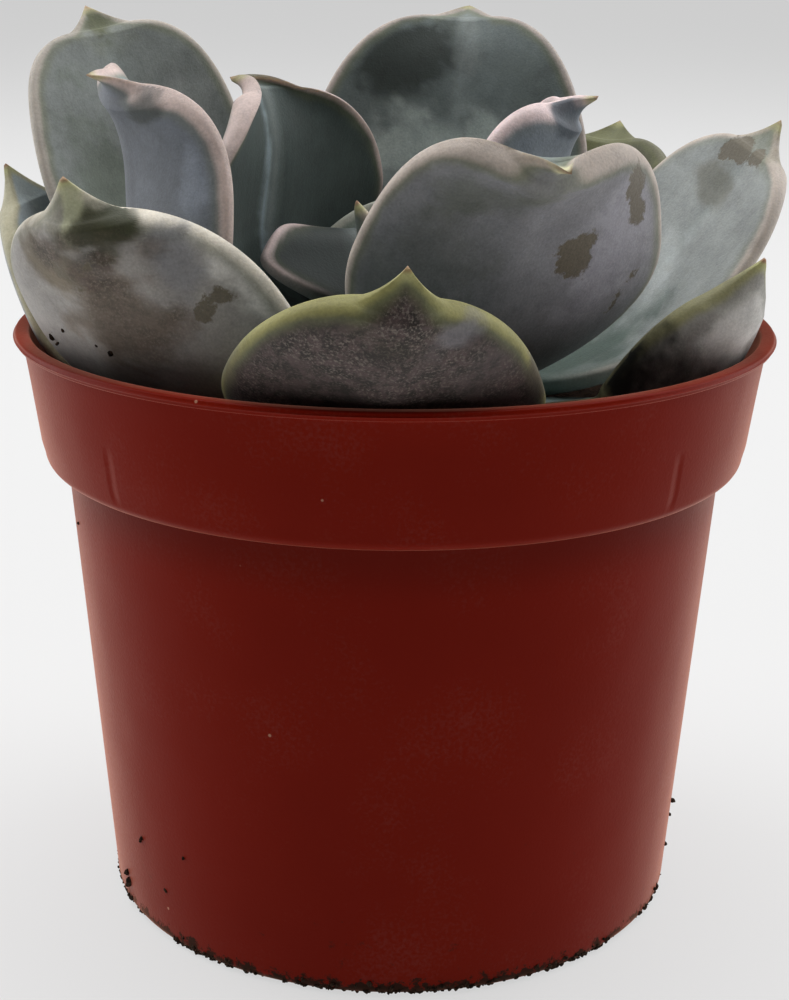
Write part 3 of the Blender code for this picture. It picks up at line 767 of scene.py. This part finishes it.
def soil_height(x, y):
    """Height of the soil's top at a place, with its clods and dips."""
    radius = math.hypot(x, y)
    hole = STEM_RADIUS + FIT
    edge = soil_edge_radius()
    share = min(max((radius - hole) / (edge - hole), 0), 1)
    height = SOIL_CROWN + (SOIL_EDGE - SOIL_CROWN) * share
    inside = min(1, max(0, (radius - hole) / 0.001), max(0, (edge - radius) / 0.001))
    place = Vector((x, y, height))
    clods = SOIL_ROUGHNESS * noise.noise(place / SOIL_GRAIN)
    grit = GRIT_HEIGHT * noise.fractal(place / GRIT_SIZE, 0.8, 2.2, 4)
    return height + inside * (clods + grit)


def soil_mesh():
    """The potting mix: a body that fills the pot, with a hole for the stem and a rough top."""
    hole = STEM_RADIUS + FIT
    shelf = BAND_FOOT + WALL + FIT
    inside = WALL + 2 * FIT
    across_top = soil_edge_radius() - hole
    profile = [(hole + across_top * i / (SOIL_RINGS - 1), SOIL_CROWN) for i in range(SOIL_RINGS)]
    profile += [(band_radius(shelf) - inside, shelf), (BODY_TOP_RADIUS - inside, shelf)]
    profile += [(wall_radius(BASE_THICK) - inside, BASE_THICK + FIT), (0, BASE_THICK + FIT)]
    profile += [(0, STEM_FOOT - FIT), (hole, STEM_FOOT - FIT)]
    mesh = turned_mesh("soil", profile, SOIL_STEPS)
    for vert in list(mesh.vertices)[: SOIL_RINGS * SOIL_STEPS]:
        vert.co.z = soil_height(vert.co.x, vert.co.y)
    return mesh


def add_crumb(bm, place, size, rng):
    """A broken crumb of peat or bark: a small sphere pushed in and out, turned at random."""
    turn = Matrix.Rotation(rng.uniform(0, math.tau), 4, (rng.random(), rng.random(), rng.random() + 0.1))
    squash = Matrix.Diagonal((rng.uniform(0.7, 1.5), rng.uniform(0.6, 1.0), 0.7, 1))
    seed = Vector((rng.uniform(0, 50), rng.uniform(0, 50), rng.uniform(0, 50)))
    made = bmesh.ops.create_icosphere(bm, subdivisions=2, radius=1)
    for vert in made["verts"]:
        bulge = 1 + 0.35 * noise.noise(vert.co * 1.3 + seed) + 0.15 * noise.noise(vert.co * 3 + seed)
        vert.co = Vector(place) + (turn @ squash @ (vert.co * bulge)) * size


def crumbs_mesh(name, crumbs, seed):
    """One mesh of all the crumbs that a function places, none of them below the floor."""
    rng = random.Random(seed)
    bm = bmesh.new()
    for place, size in crumbs(rng):
        add_crumb(bm, place, size, rng)
    for vert in bm.verts:
        vert.co.z = max(vert.co.z, 0)
    return mesh_from(bm, name)


def soil_crumbs(rng):
    """Bark and peat crumbs lying on the soil."""
    inner, outer = SOIL_CRUMBS_FROM, soil_edge_radius() - SOIL_CRUMBS_MARGIN
    for _ in range(SOIL_CRUMBS):
        radius = math.sqrt(rng.uniform(inner**2, outer**2))
        x, y, _ = polar(radius, rng.uniform(0, math.tau), 0)
        size = rng.choice(SOIL_CRUMB_SIZES)
        yield (x, y, soil_height(x, y) + size * 0.2), size


def foot_crumbs(rng):
    """Wet crumbs stuck along the pot's foot, thicker in some places."""
    for _ in range(FOOT_CRUMBS):
        angle = rng.uniform(0, math.tau)
        if noise.noise(Vector(polar(3, angle, 4))) < rng.uniform(-0.4, 0.1):
            continue
        size = rng.choice(FOOT_CRUMB_SIZES)
        height = abs(rng.gauss(0, FOOT_CRUMB_SPREAD)) + size * 0.8
        above = BASE_CORNER - min(height, BASE_CORNER)
        depth = BASE_CORNER - math.sqrt(max(0, BASE_CORNER**2 - above**2))
        yield polar(wall_radius(height) - depth + size * 0.1, angle, height), size


def stray_crumbs(rng):
    """Crumbs of potting mix that stick to the pot's wall and lie on the broad front left leaf."""
    for degrees, height, size in WALL_CRUMBS:
        yield polar(wall_radius(height) + size * 0.1, math.radians(degrees), height), size
    yield from LEAF_CRUMBS


# Leaves


def stem_radius(height):
    """Radius of the stem at a height: even up to its shoulder, then narrowing to the heart."""
    share = max(0, height - STEM_SHOULDER) / (STEM_TOP - STEM_SHOULDER)
    return STEM_RADIUS + (STEM_TOP_RADIUS - STEM_RADIUS) * share


def leaf_outline(leaf, along):
    """Share of the length, distance from the base, half width and thickness of the section there."""
    crowded = RINGS_TOWARDS_TIP * np.sin(along * np.pi / 2)
    theta = np.pi * ((1 - RINGS_TOWARDS_TIP) * along + crowded)
    share = (1 - np.cos(theta)) / 2
    broadening = CLAW + (1 - CLAW) * smooth(share / FULL_WIDTH_AT)
    half_width = leaf.width / 2 * np.abs(np.sin(theta)) ** leaf.shoulders * broadening
    point = np.clip(1 - half_width / MUCRO_WIDTH, 0, 1) ** MUCRO_SHARPNESS * (share > 0.5)
    thick = LEAF_THICK * np.clip(half_width / FULL_THICK_WIDTH, TIP_THICK_SHARE, 1) ** THICK_POWER
    thick = thick * np.minimum(1, np.abs(np.sin(theta)) / END_TAPER) ** END_POWER
    return share, share * leaf.length + MUCRO * point, half_width, thick


def leaf_path(leaf, tilt, heading, run):
    """The points of a line that leaves the stem and has a slope and a heading at each point."""
    direction = np.stack([np.cos(tilt) * np.cos(heading), np.cos(tilt) * np.sin(heading), np.sin(tilt)])
    steps = (direction[:, 1:] + direction[:, :-1]) / 2 * np.diff(run)
    seat = stem_radius(leaf.height) + leaf.seat
    base = np.array([seat * np.cos(heading[0]), seat * np.sin(heading[0]), leaf.height])
    return base[:, None] + np.concatenate([np.zeros((3, 1)), np.cumsum(steps, axis=1)], axis=1)


def leaf_midrib(leaf):
    """The midrib goes out, bends up and turns back at the tip. Its slope comes without that turn too."""
    run = np.linspace(0, leaf.length + MUCRO, MIDRIB_POINTS)
    part = run / leaf.length
    bend_start, bend_end = leaf.bend
    bent = smooth((part - bend_start) / (bend_end - bend_start))
    tilt = np.radians(leaf.base_tilt + (leaf.top_tilt - leaf.base_tilt) * bent)
    past = np.clip((part - RECURVE_FROM) / (1 - RECURVE_FROM), 0, RECURVE_MOST)
    back = np.radians(leaf.recurve * past**2)
    heading = np.radians(leaf.heading + leaf.sweep * part**2)
    return run, tilt, back, heading


def outline_distance(leaf, across, distance):
    """How far a point of the blade, laid flat, is from the blade's edge."""
    along = np.linspace(0, 1, OUTLINE_POINTS)
    _, line, half_width, _ = leaf_outline(leaf, along)
    edge = np.concatenate([np.stack([half_width, line], -1), np.stack([-half_width, line], -1)])
    nearest = np.full(len(across), 1.0)
    for i in range(0, len(across), DISTANCE_BATCH):
        batch = slice(i, i + DISTANCE_BATCH)
        here = np.stack([across[batch], distance[batch]], -1)
        nearest[batch] = np.linalg.norm(here[:, None] - edge[None], axis=-1).min(1)
    return nearest


def leaf_points(leaf, along, around):
    """Points on a leaf, and where each lies: across and along the blade, from its edge, and which face."""
    share, distance, half_width, thick = leaf_outline(leaf, along)
    run, tilt, back, heading = leaf_midrib(leaf)
    # The middle of the section. Towards the margins it follows the midrib as it is without its turn.
    ends = 4 * share * (1 - share)
    lift = leaf.lobes * ends ** (LOBES_POWER / 2) * smooth((share - LOBES_FROM) / LOBES_LENGTH)
    lift = (lift * np.cos(around) ** 2)[:, None]
    turned, plain = (
        np.stack([np.interp(distance, run, axis) for axis in leaf_path(leaf, slope, heading, run)], axis=-1)
        for slope in (tilt + back, tilt)
    )
    middle = turned * (1 - lift) + plain * lift
    # Three directions at each point: outward, sideways and up from the blade, then with its roll
    tilt = np.interp(distance, run, tilt)[:, None] + np.interp(distance, run, back)[:, None] * (1 - lift)
    heading = np.interp(distance, run, heading)[:, None]
    outward = np.concatenate([np.cos(heading), np.sin(heading), 0 * heading], axis=1)
    sideways = np.concatenate([-np.sin(heading), np.cos(heading), 0 * heading], axis=1)
    upward = np.array([0, 0, 1]) * np.cos(tilt) - outward * np.sin(tilt)
    reach = np.clip(distance / leaf.length, 0, 1)[:, None]
    roll = np.radians(leaf.roll * reach)
    across_axis = np.cos(roll) * sideways + np.sin(roll) * upward
    above = -np.sin(roll) * sideways + np.cos(roll) * upward
    # The blade is an arc across, and its thickness stands square to that
    side_share = np.cos(around) * (1 + leaf.skew * np.cos(around))
    curl = leaf.cup * (CUP_AT_BASE + CUP_GAIN * reach)
    turn = curl * side_share[:, None]
    width = half_width[:, None]
    surface = middle + width * np.sin(turn) / curl * across_axis + width * (1 - np.cos(turn)) / curl * above
    outwards = np.cos(turn) * above - np.sin(turn) * across_axis
    sine = np.sin(around)
    side = np.sign(sine) * np.abs(sine) ** EDGE_BLUNTNESS
    offset = np.where(side > 0, ADAXIAL_SHARE, 1 - ADAXIAL_SHARE) * thick * side
    face = np.clip(sine * 3, -1, 1)
    across = half_width * side_share
    from_edge = outline_distance(leaf, half_width * np.cos(around), distance)
    bead = np.abs(side) * bell(from_edge - BEAD_WIDTH / 2, BEAD_WIDTH / 2)
    offset = offset + fine_form(leaf, across, distance, reach[:, 0], face, bead)
    points = surface + offset[:, None] * outwards
    return points, across / MM, distance / MM, from_edge / MM, face


def bell(distance, width):
    """1 at no distance, and falling away smoothly over a width."""
    return np.exp(-((distance / width) ** 2))


def fine_form(leaf, across, distance, reach, face, bead):
    """How far the bead, the groove, the keel and the waviness move each point of the skin out."""
    blade = smooth((reach - 0.25) / 0.3) * smooth((1.0 - reach) / 0.12)
    groove = bell(across, GROOVE_WIDTH) * blade
    keel = bell(across, KEEL_WIDTH) * smooth((reach - 0.45) / 0.4) * smooth((1.06 - reach) / 0.12)
    seed = leaf.heading * 0.37
    wave = np.array([
        noise.noise(Vector((a / WAVE_LENGTH, d / WAVE_LENGTH, seed))) for a, d in zip(across, distance)
    ])
    inner, outer = np.clip(face, 0, 1), np.clip(-face, 0, 1)
    form = inner * (BEAD_HEIGHT * bead - GROOVE_DEPTH * groove) - outer * KEEL_HEIGHT * keel
    return leaf.width / FORM_WIDTH * (form + WAVE_HEIGHT * wave * blade)


def oval_gap(spot, across, along):
    """Distance in from the edge of an oval patch or scar, in mm, and below 0 outside it."""
    turn = math.radians(spot.turn)
    a, d = across - spot.across, along - spot.along
    u = (a * math.cos(turn) + d * math.sin(turn)) / spot.wide
    v = (-a * math.sin(turn) + d * math.cos(turn)) / spot.long
    return (1 - np.hypot(u, v)) * min(spot.wide, spot.long)


def tinted(colours, colour, share):
    """Mixes a colour into an array of colours, with a share for each."""
    return colours + (np.array(linear(colour)) - colours) * np.clip(share, 0, 1)[:, None]


def patch_share(patch, across, along, face, drift):
    """How much of a patch is at each point, its border blurred and made uneven."""
    depth = oval_gap(patch, across, along) / min(patch.wide, patch.long)
    return patch.strength * smooth(depth * 1.6 + 0.7 * drift) * (face * patch.face > 0)


def leaf_drift(leaf, across, along):
    """An even random pattern over a leaf, with finer detail."""
    seed = leaf.heading * 0.71
    return np.array([
        noise.fractal(Vector((a / DRIFT_SIZE, d / DRIFT_SIZE, seed)), 0.7, 2.2, 4)
        for a, d in zip(across, along)
    ])


def leaf_colours(leaf, across, along, from_edge, face, drift, patches, settings):
    """The tint of one leaf's skin at each point, from its base to its edge, tip and patches, some of which
    are painted highlights and painted shade.
    """
    skin = SKINS.get(leaf.name, PLAIN_SKIN)
    length = leaf.length / MM
    reach = along / length
    inner = smooth(face * 0.5 + 0.5)
    tint = tinted(np.tile(linear(skin.outer), (len(across), 1)), skin.inner, inner)
    # Less wax towards the base, where leaves rub, and a paler line along the inner midrib
    bare = (1 - smooth((reach - 0.1) / 0.5))[:, None]
    tint = tint * (1 - bare + bare * np.array(linear(settings.skin)))
    tint = tinted(tint, settings.midrib, 0.3 * inner * np.exp(-((across / 1.3) ** 2)) * smooth(reach * 2))
    # The zone inside the edge, then the edge itself
    upper = smooth((reach - 0.22) / 0.3)
    wrapped = EDGE_REACH + np.clip(skin.wrap * np.sign(face), 0, None)
    lime = skin.lime * (1 - smooth((from_edge - wrapped - 0.6 * drift) / LIME_REACH)) * upper
    tint = tinted(tint, settings.lime, lime)
    edge = (1 - smooth((from_edge - 0.4 * wrapped - 0.2 * drift) / (0.9 * wrapped))) * upper
    tint = tinted(tint, skin.edge, edge)
    # A bare olive tip, paler at its end
    tip_gap = np.hypot(across, along - length)
    tint = tinted(tint, settings.olive, skin.olive * (1 - smooth((tip_gap - 2 - 3 * drift) / 4)))
    to_end = MUCRO / MM - (along - length)
    tint = tinted(tint, settings.tip, 0.8 * (1 - smooth((to_end - 0.8) / 1.6)))
    # Small patches cross the edge, and broad ones stay inside it
    for patch, share in patches:
        if patch.colour:
            if max(patch.wide, patch.long) > BROAD_PATCH:
                share = share * smooth((from_edge - 0.8) / 2)
            tint = tinted(tint, patch.colour, share)
    # The tip's very end is dry and brown
    return tinted(tint, settings.point, 0.8 * (1 - smooth((to_end - 0.25) / 0.5)))


def leaf_masks(leaf, across, along, from_edge, face, patches):
    """How much tan shows on one leaf, from 0 to 1, and how deep in a scar each point is, in mm."""
    skin = SKINS.get(leaf.name, PLAIN_SKIN)
    tan = skin.tan * np.clip(-face, 0, 1) * smooth((from_edge - 1.0) / 1.7)
    scar = np.full(len(across), -5.0)
    for patch, share in patches:
        tan = tan * (1 - share) if patch.colour else np.maximum(tan, share)
    for spot in SCARS.get(leaf.name, ()):
        gap = oval_gap(spot, across, along)
        scar = np.where(face * spot.face > 0.3, np.maximum(scar, gap), scar)
    return tan, scar


def leaf_mesh(leaf, segments, rings, settings):
    """A sphere reshaped into a leaf, its poles the leaf's base and tip, with its skin's tint and masks."""
    bm = bmesh.new()
    bmesh.ops.create_uvsphere(bm, u_segments=segments, v_segments=rings, radius=1)
    sphere = np.array([vert.co[:] for vert in bm.verts])
    along = np.arccos(np.clip(-sphere[:, 2], -1, 1)) / np.pi
    around = np.arctan2(sphere[:, 1], sphere[:, 0])
    points, across, distance, from_edge, face = leaf_points(leaf, along, around)
    for vert, place in zip(bm.verts, points):
        vert.co = place
    if bm.calc_volume(signed=True) < 0:
        bmesh.ops.reverse_faces(bm, faces=bm.faces)
    mesh = mesh_from(bm, leaf.name + "_skin")
    drift = leaf_drift(leaf, across, distance)
    patches = [
        (patch, patch_share(patch, across, distance, face, drift)) for patch in PATCHES.get(leaf.name, ())
    ]
    tan, scar = leaf_masks(leaf, across, distance, from_edge, face, patches)
    tint = leaf_colours(leaf, across, distance, from_edge, face, drift, patches, settings)
    # The third place keeps the patterns of the two faces and of the leaves apart
    depth = np.where(face > 0, 40.0, 0.0) + leaf.heading * 0.9
    for name, kind, key, values in (
        ("tan", "FLOAT", "value", tan),
        ("scar", "FLOAT", "value", scar),
        ("tint", "FLOAT_COLOR", "color", tint),
        ("leaf_mm", "FLOAT_VECTOR", "vector", np.stack([across, distance, depth], -1)),
    ):
        layer = mesh.attributes.new(name, kind, "POINT")
        layer.data.foreach_set(key, values.astype(np.float32).ravel())
    return mesh


def bud_leaf(i):
    """A small leaf of the bud. Later ones are smaller, steeper and higher."""
    size = BUD_SHRINK**i
    return Leaf(
        f"bud_{i}",
        heading=BUD_FIRST_HEADING + BUD_TURN * i,
        sweep=0,
        base_tilt=BUD_TILT + BUD_TILT_STEP * i,
        top_tilt=90,
        bend=(0.0, 0.8),
        recurve=-15,
        length=BUD_LENGTH * size,
        width=BUD_WIDTH * size,
        cup=0.9,
        roll=0,
        height=BUD_FOOT + BUD_FOOT_STEP * i,
        skew=0,
        shoulders=BUD_SHOULDERS,
        lobes=0,
        seat=BUD_SEAT,
    )


def skin_material(settings):
    """The leaves' material, which is made once."""
    return bpy.data.materials.get(SKIN_NAME) or leaf_skin(settings)


def make_leaves(group, settings):
    """Builds one group of leaves. Those of the heart are small and need half the faces each way."""
    share = 2 if group == "heart" else 1
    for leaf in LEAF_GROUPS[group]:
        mesh = leaf_mesh(leaf, settings.segments // share, settings.rings // share, settings)
        new_object(leaf.name + "_skin", mesh, "leaf_skin", skin_material(settings), leaf.name)


# Stage


def floor_material():
    """A matt white light table: it glows a little, so that it stays pale far from the lamps."""
    material = bpy.data.materials.new("white acrylic light table")
    material.use_nodes = True
    set_inputs(material.node_tree.nodes["Principled BSDF"], {
        "Base Color": "#7c7c7c",
        "Roughness": 0.9,
        "Specular IOR Level": 0.1,
        "Emission Color": "#ffffff",
        "Emission Strength": 0.6,
    })
    return material


def surroundings():
    """Pale grey all round, which the camera sees lighter than it lights the part."""
    world = bpy.data.worlds.new("soft surroundings")
    world.use_nodes = True
    seen = add_node(world.node_tree, "LightPath").outputs["Is Camera Ray"]
    greys = {MIX_A: (WORLD_LIGHT,) * 3 + (1,), MIX_B: (WORLD_SEEN,) * 3 + (1,)}
    shade = add_node(world.node_tree, "Mix", COLOUR_MIX, {MIX_FACTOR: seen, **greys})
    set_inputs(world.node_tree.nodes["Background"], {"Color": shade})
    return world


def soft_light(name, place, size, power):
    """A white rectangular lamp turned to the part."""
    lamp = bpy.data.lights.new(name, "AREA")
    lamp.shape = "RECTANGLE"
    lamp.size, lamp.size_y = size
    lamp.energy = power
    made = linked_object(name, lamp)
    made.location = place
    made.rotation_euler = (Vector(LIGHT_TARGET) - Vector(place)).to_track_quat("-Z", "Y").to_euler()


# Settings


class PotSettings(bpy.types.PropertyGroup):
    plastic_dark: StringProperty(
        name="Plastic, dark", description="Darker tone of the pot's pigment, sRGB hex", default="#6c1103"
    )
    plastic_light: StringProperty(
        name="Plastic, light", description="Lighter tone of the pot's pigment, sRGB hex", default="#781505"
    )
    dirt: StringProperty(
        name="Dirt", description="Soil dried on the pot's foot, sRGB hex", default="#2a1d16"
    )
    dust: FloatProperty(
        name="Dust", description="How much pale dust lies on the plastic", default=0.05, min=0, max=1
    )


class SoilSettings(bpy.types.PropertyGroup):
    peat: StringProperty(
        name="Peat", description="Dark peat in the potting mix, sRGB hex", default="#1d1613"
    )
    bark: StringProperty(
        name="Bark", description="Paler bark in the potting mix, sRGB hex", default="#4d3a2c"
    )


class LeafSettings(bpy.types.PropertyGroup):
    skin: StringProperty(
        name="Skin", description="Tone of the less waxy skin near the base, sRGB hex", default="#a3bcb0"
    )
    midrib: StringProperty(
        name="Midrib", description="Paler line along the inner midrib, sRGB hex", default="#98a2a0"
    )
    lime: StringProperty(
        name="Inside the edge", description="Yellow-green zone inside the edge, sRGB hex", default="#6b6e4a"
    )
    olive: StringProperty(
        name="Rubbed tip", description="Bare green skin near the tip, sRGB hex", default="#66683f"
    )
    tan: StringProperty(name="Tan", description="Brown rubbed skin, sRGB hex", default="#1e160f")
    purple: StringProperty(
        name="Purple", description="Purple sun-stressed skin, sRGB hex", default="#4c3c3a"
    )
    specks: StringProperty(
        name="Specks", description="Specks of wax on rubbed skin, sRGB hex", default="#776d64"
    )
    scar_dark: StringProperty(name="Scar, dark", description="Scar, sRGB hex", default="#4a4232")
    scar_light: StringProperty(name="Scar, light", description="Scar, sRGB hex", default="#776d58")
    tip: StringProperty(name="Tip", description="The leaf's tip, sRGB hex", default="#a3a26e")
    point: StringProperty(name="Point", description="The dried point, sRGB hex", default="#8a5a48")
    segments: IntProperty(
        name="Segments", description="Faces round a leaf's section", default=112, min=16, max=256
    )
    rings: IntProperty(
        name="Rings", description="Faces along a leaf", default=120, min=16, max=256
    )


class StageSettings(bpy.types.PropertyGroup):
    floor_size: FloatProperty(
        name="Floor", description="Half size of the floor", default=6.0, unit="LENGTH"
    )


# Operators


class SUCCULENT_OT_pot(bpy.types.Operator):
    """Builds the plastic nursery pot"""

    bl_idname = "succulent.pot"
    bl_label = "Pot"

    def execute(self, context):
        material = polypropylene(context.scene.succulent_pot)
        mesh = turned_mesh("pot_moulded", pot_profile(), POT_STEPS)
        pot = new_object("pot_moulded", mesh, "pot_plastic", None, "pot")
        cut_or_join(pot, drain_cutters(), "DIFFERENCE")
        cut_or_join(pot, rib_blocks(), "UNION")
        pot.data.materials.clear()
        pot.data.materials.append(material)
        pot.data.shade_smooth()
        pot.data.set_sharp_from_angle(angle=math.radians(40))
        return {"FINISHED"}


class SUCCULENT_OT_soil(bpy.types.Operator):
    """Builds the potting mix and the crumbs that lie on it and stick to the pot"""

    bl_idname = "succulent.soil"
    bl_label = "Potting mix"

    def execute(self, context):
        material = potting_mix(context.scene.succulent_soil)
        new_object("potting_mix_fill", soil_mesh(), "potting_mix", material, "soil")
        for name, crumbs, seed in (
            ("soil_crumbs", soil_crumbs, 7),
            ("foot_crumbs", foot_crumbs, 11),
            ("stray_crumbs", stray_crumbs, 3),
        ):
            new_object(name, crumbs_mesh(name, crumbs, seed), "potting_mix", material)
        return {"FINISHED"}


class SUCCULENT_OT_stem(bpy.types.Operator):
    """Builds the stem and the bud of young leaves on its top"""

    bl_idname = "succulent.stem"
    bl_label = "Stem and heart"

    def execute(self, context):
        profile = [(0, STEM_TOP), (STEM_TOP_RADIUS, STEM_TOP), (STEM_RADIUS, STEM_SHOULDER)]
        profile += [(STEM_RADIUS, STEM_FOOT + STEM_CHAMFER), (STEM_RADIUS - STEM_CHAMFER, STEM_FOOT)]
        profile += [(0, STEM_FOOT)]
        mesh = turned_mesh("stem", profile, STEM_STEPS)
        mesh.set_sharp_from_angle(angle=math.radians(35))
        new_object("stem", mesh, "stem_tissue", stem_tissue(), "stem_and_heart")
        settings = context.scene.succulent_leaf
        for i in range(BUD_COUNT):
            mesh = leaf_mesh(bud_leaf(i), BUD_STEPS, BUD_STEPS, settings)
            skin = skin_material(settings)
            new_object(f"bud_leaf_{i + 1}", mesh, "stem_tissue", skin, "stem_and_heart")
        return {"FINISHED"}


class SUCCULENT_OT_low_leaves(bpy.types.Operator):
    """Builds the lowest leaves, which turn up inside the pot's lip"""

    bl_idname = "succulent.low_leaves"
    bl_label = "Lowest leaves"

    def execute(self, context):
        make_leaves("low", context.scene.succulent_leaf)
        return {"FINISHED"}


class SUCCULENT_OT_ring_leaves(bpy.types.Operator):
    """Builds the broad leaves of the main ring"""

    bl_idname = "succulent.ring_leaves"
    bl_label = "Main ring of leaves"

    def execute(self, context):
        make_leaves("ring", context.scene.succulent_leaf)
        return {"FINISHED"}


class SUCCULENT_OT_inner_leaves(bpy.types.Operator):
    """Builds the inner, steeper leaves"""

    bl_idname = "succulent.inner_leaves"
    bl_label = "Inner leaves"

    def execute(self, context):
        make_leaves("inner", context.scene.succulent_leaf)
        return {"FINISHED"}


class SUCCULENT_OT_heart_leaves(bpy.types.Operator):
    """Builds the youngest full leaves round the heart"""

    bl_idname = "succulent.heart_leaves"
    bl_label = "Heart leaves"

    def execute(self, context):
        make_leaves("heart", context.scene.succulent_leaf)
        return {"FINISHED"}


class SUCCULENT_OT_stage(bpy.types.Operator):
    """Builds the floor, the soft lights and the camera"""

    bl_idname = "succulent.stage"
    bl_label = "Stage"

    def execute(self, context):
        scene = context.scene
        half = scene.succulent_stage.floor_size
        mesh = bpy.data.meshes.new("floor")
        corners = [(-half, -half, 0), (half, -half, 0), (half, half, 0), (-half, half, 0)]
        mesh.from_pydata(corners, [], [(0, 1, 2, 3)])
        mesh.materials.append(floor_material())
        floor = linked_object("floor", mesh)

        scene.world = surroundings()
        for light in LIGHTS:
            soft_light(*light)

        lens = bpy.data.cameras.new("camera")
        lens.lens = CAMERA_LENS
        lens.sensor_width = FILM_WIDTH
        lens.clip_start = 0.01
        camera = linked_object("camera", lens)
        turn = Matrix.Rotation(math.radians(CAMERA_PITCH), 4, "X")
        roll = Matrix.Rotation(math.radians(CAMERA_ROLL), 4, "Z")
        camera.matrix_world = Matrix.Translation(CAMERA_PLACE) @ turn @ roll
        scene.camera = camera
        scene.view_settings.view_transform = "Standard"
        return {"FINISHED"}


class SUCCULENT_PT_panel(bpy.types.Panel):
    """Lists the pieces of the potted succulent"""

    bl_idname = "SUCCULENT_PT_panel"
    bl_label = "Potted succulent"
    bl_space_type = "VIEW_3D"
    bl_region_type = "UI"
    bl_category = "Succulent"

    def draw(self, context):
        for settings in ("succulent_pot", "succulent_soil", "succulent_leaf", "succulent_stage"):
            box = self.layout.box()
            group = getattr(context.scene, settings)
            for name in group.__annotations__:
                box.prop(group, name)
        for step in OPERATORS:
            self.layout.operator(step.bl_idname)


OPERATORS = (
    SUCCULENT_OT_pot,
    SUCCULENT_OT_soil,
    SUCCULENT_OT_stem,
    SUCCULENT_OT_low_leaves,
    SUCCULENT_OT_ring_leaves,
    SUCCULENT_OT_inner_leaves,
    SUCCULENT_OT_heart_leaves,
    SUCCULENT_OT_stage,
)
SETTINGS = {
    "succulent_pot": PotSettings,
    "succulent_soil": SoilSettings,
    "succulent_leaf": LeafSettings,
    "succulent_stage": StageSettings,
}


def register():
    for kind in (*SETTINGS.values(), *OPERATORS, SUCCULENT_PT_panel):
        bpy.utils.register_class(kind)
    for name, kind in SETTINGS.items():
        setattr(bpy.types.Scene, name, bpy.props.PointerProperty(type=kind))


def unregister():
    for name in SETTINGS:
        delattr(bpy.types.Scene, name)
    for kind in reversed((*SETTINGS.values(), *OPERATORS, SUCCULENT_PT_panel)):
        bpy.utils.unregister_class(kind)


def main():
    register()
    bpy.ops.succulent.pot()
    bpy.ops.succulent.soil()
    bpy.ops.succulent.stem()
    bpy.ops.succulent.low_leaves()
    bpy.ops.succulent.ring_leaves()
    bpy.ops.succulent.inner_leaves()
    bpy.ops.succulent.heart_leaves()
    bpy.ops.succulent.stage()


if __name__ == "__main__":
    main()
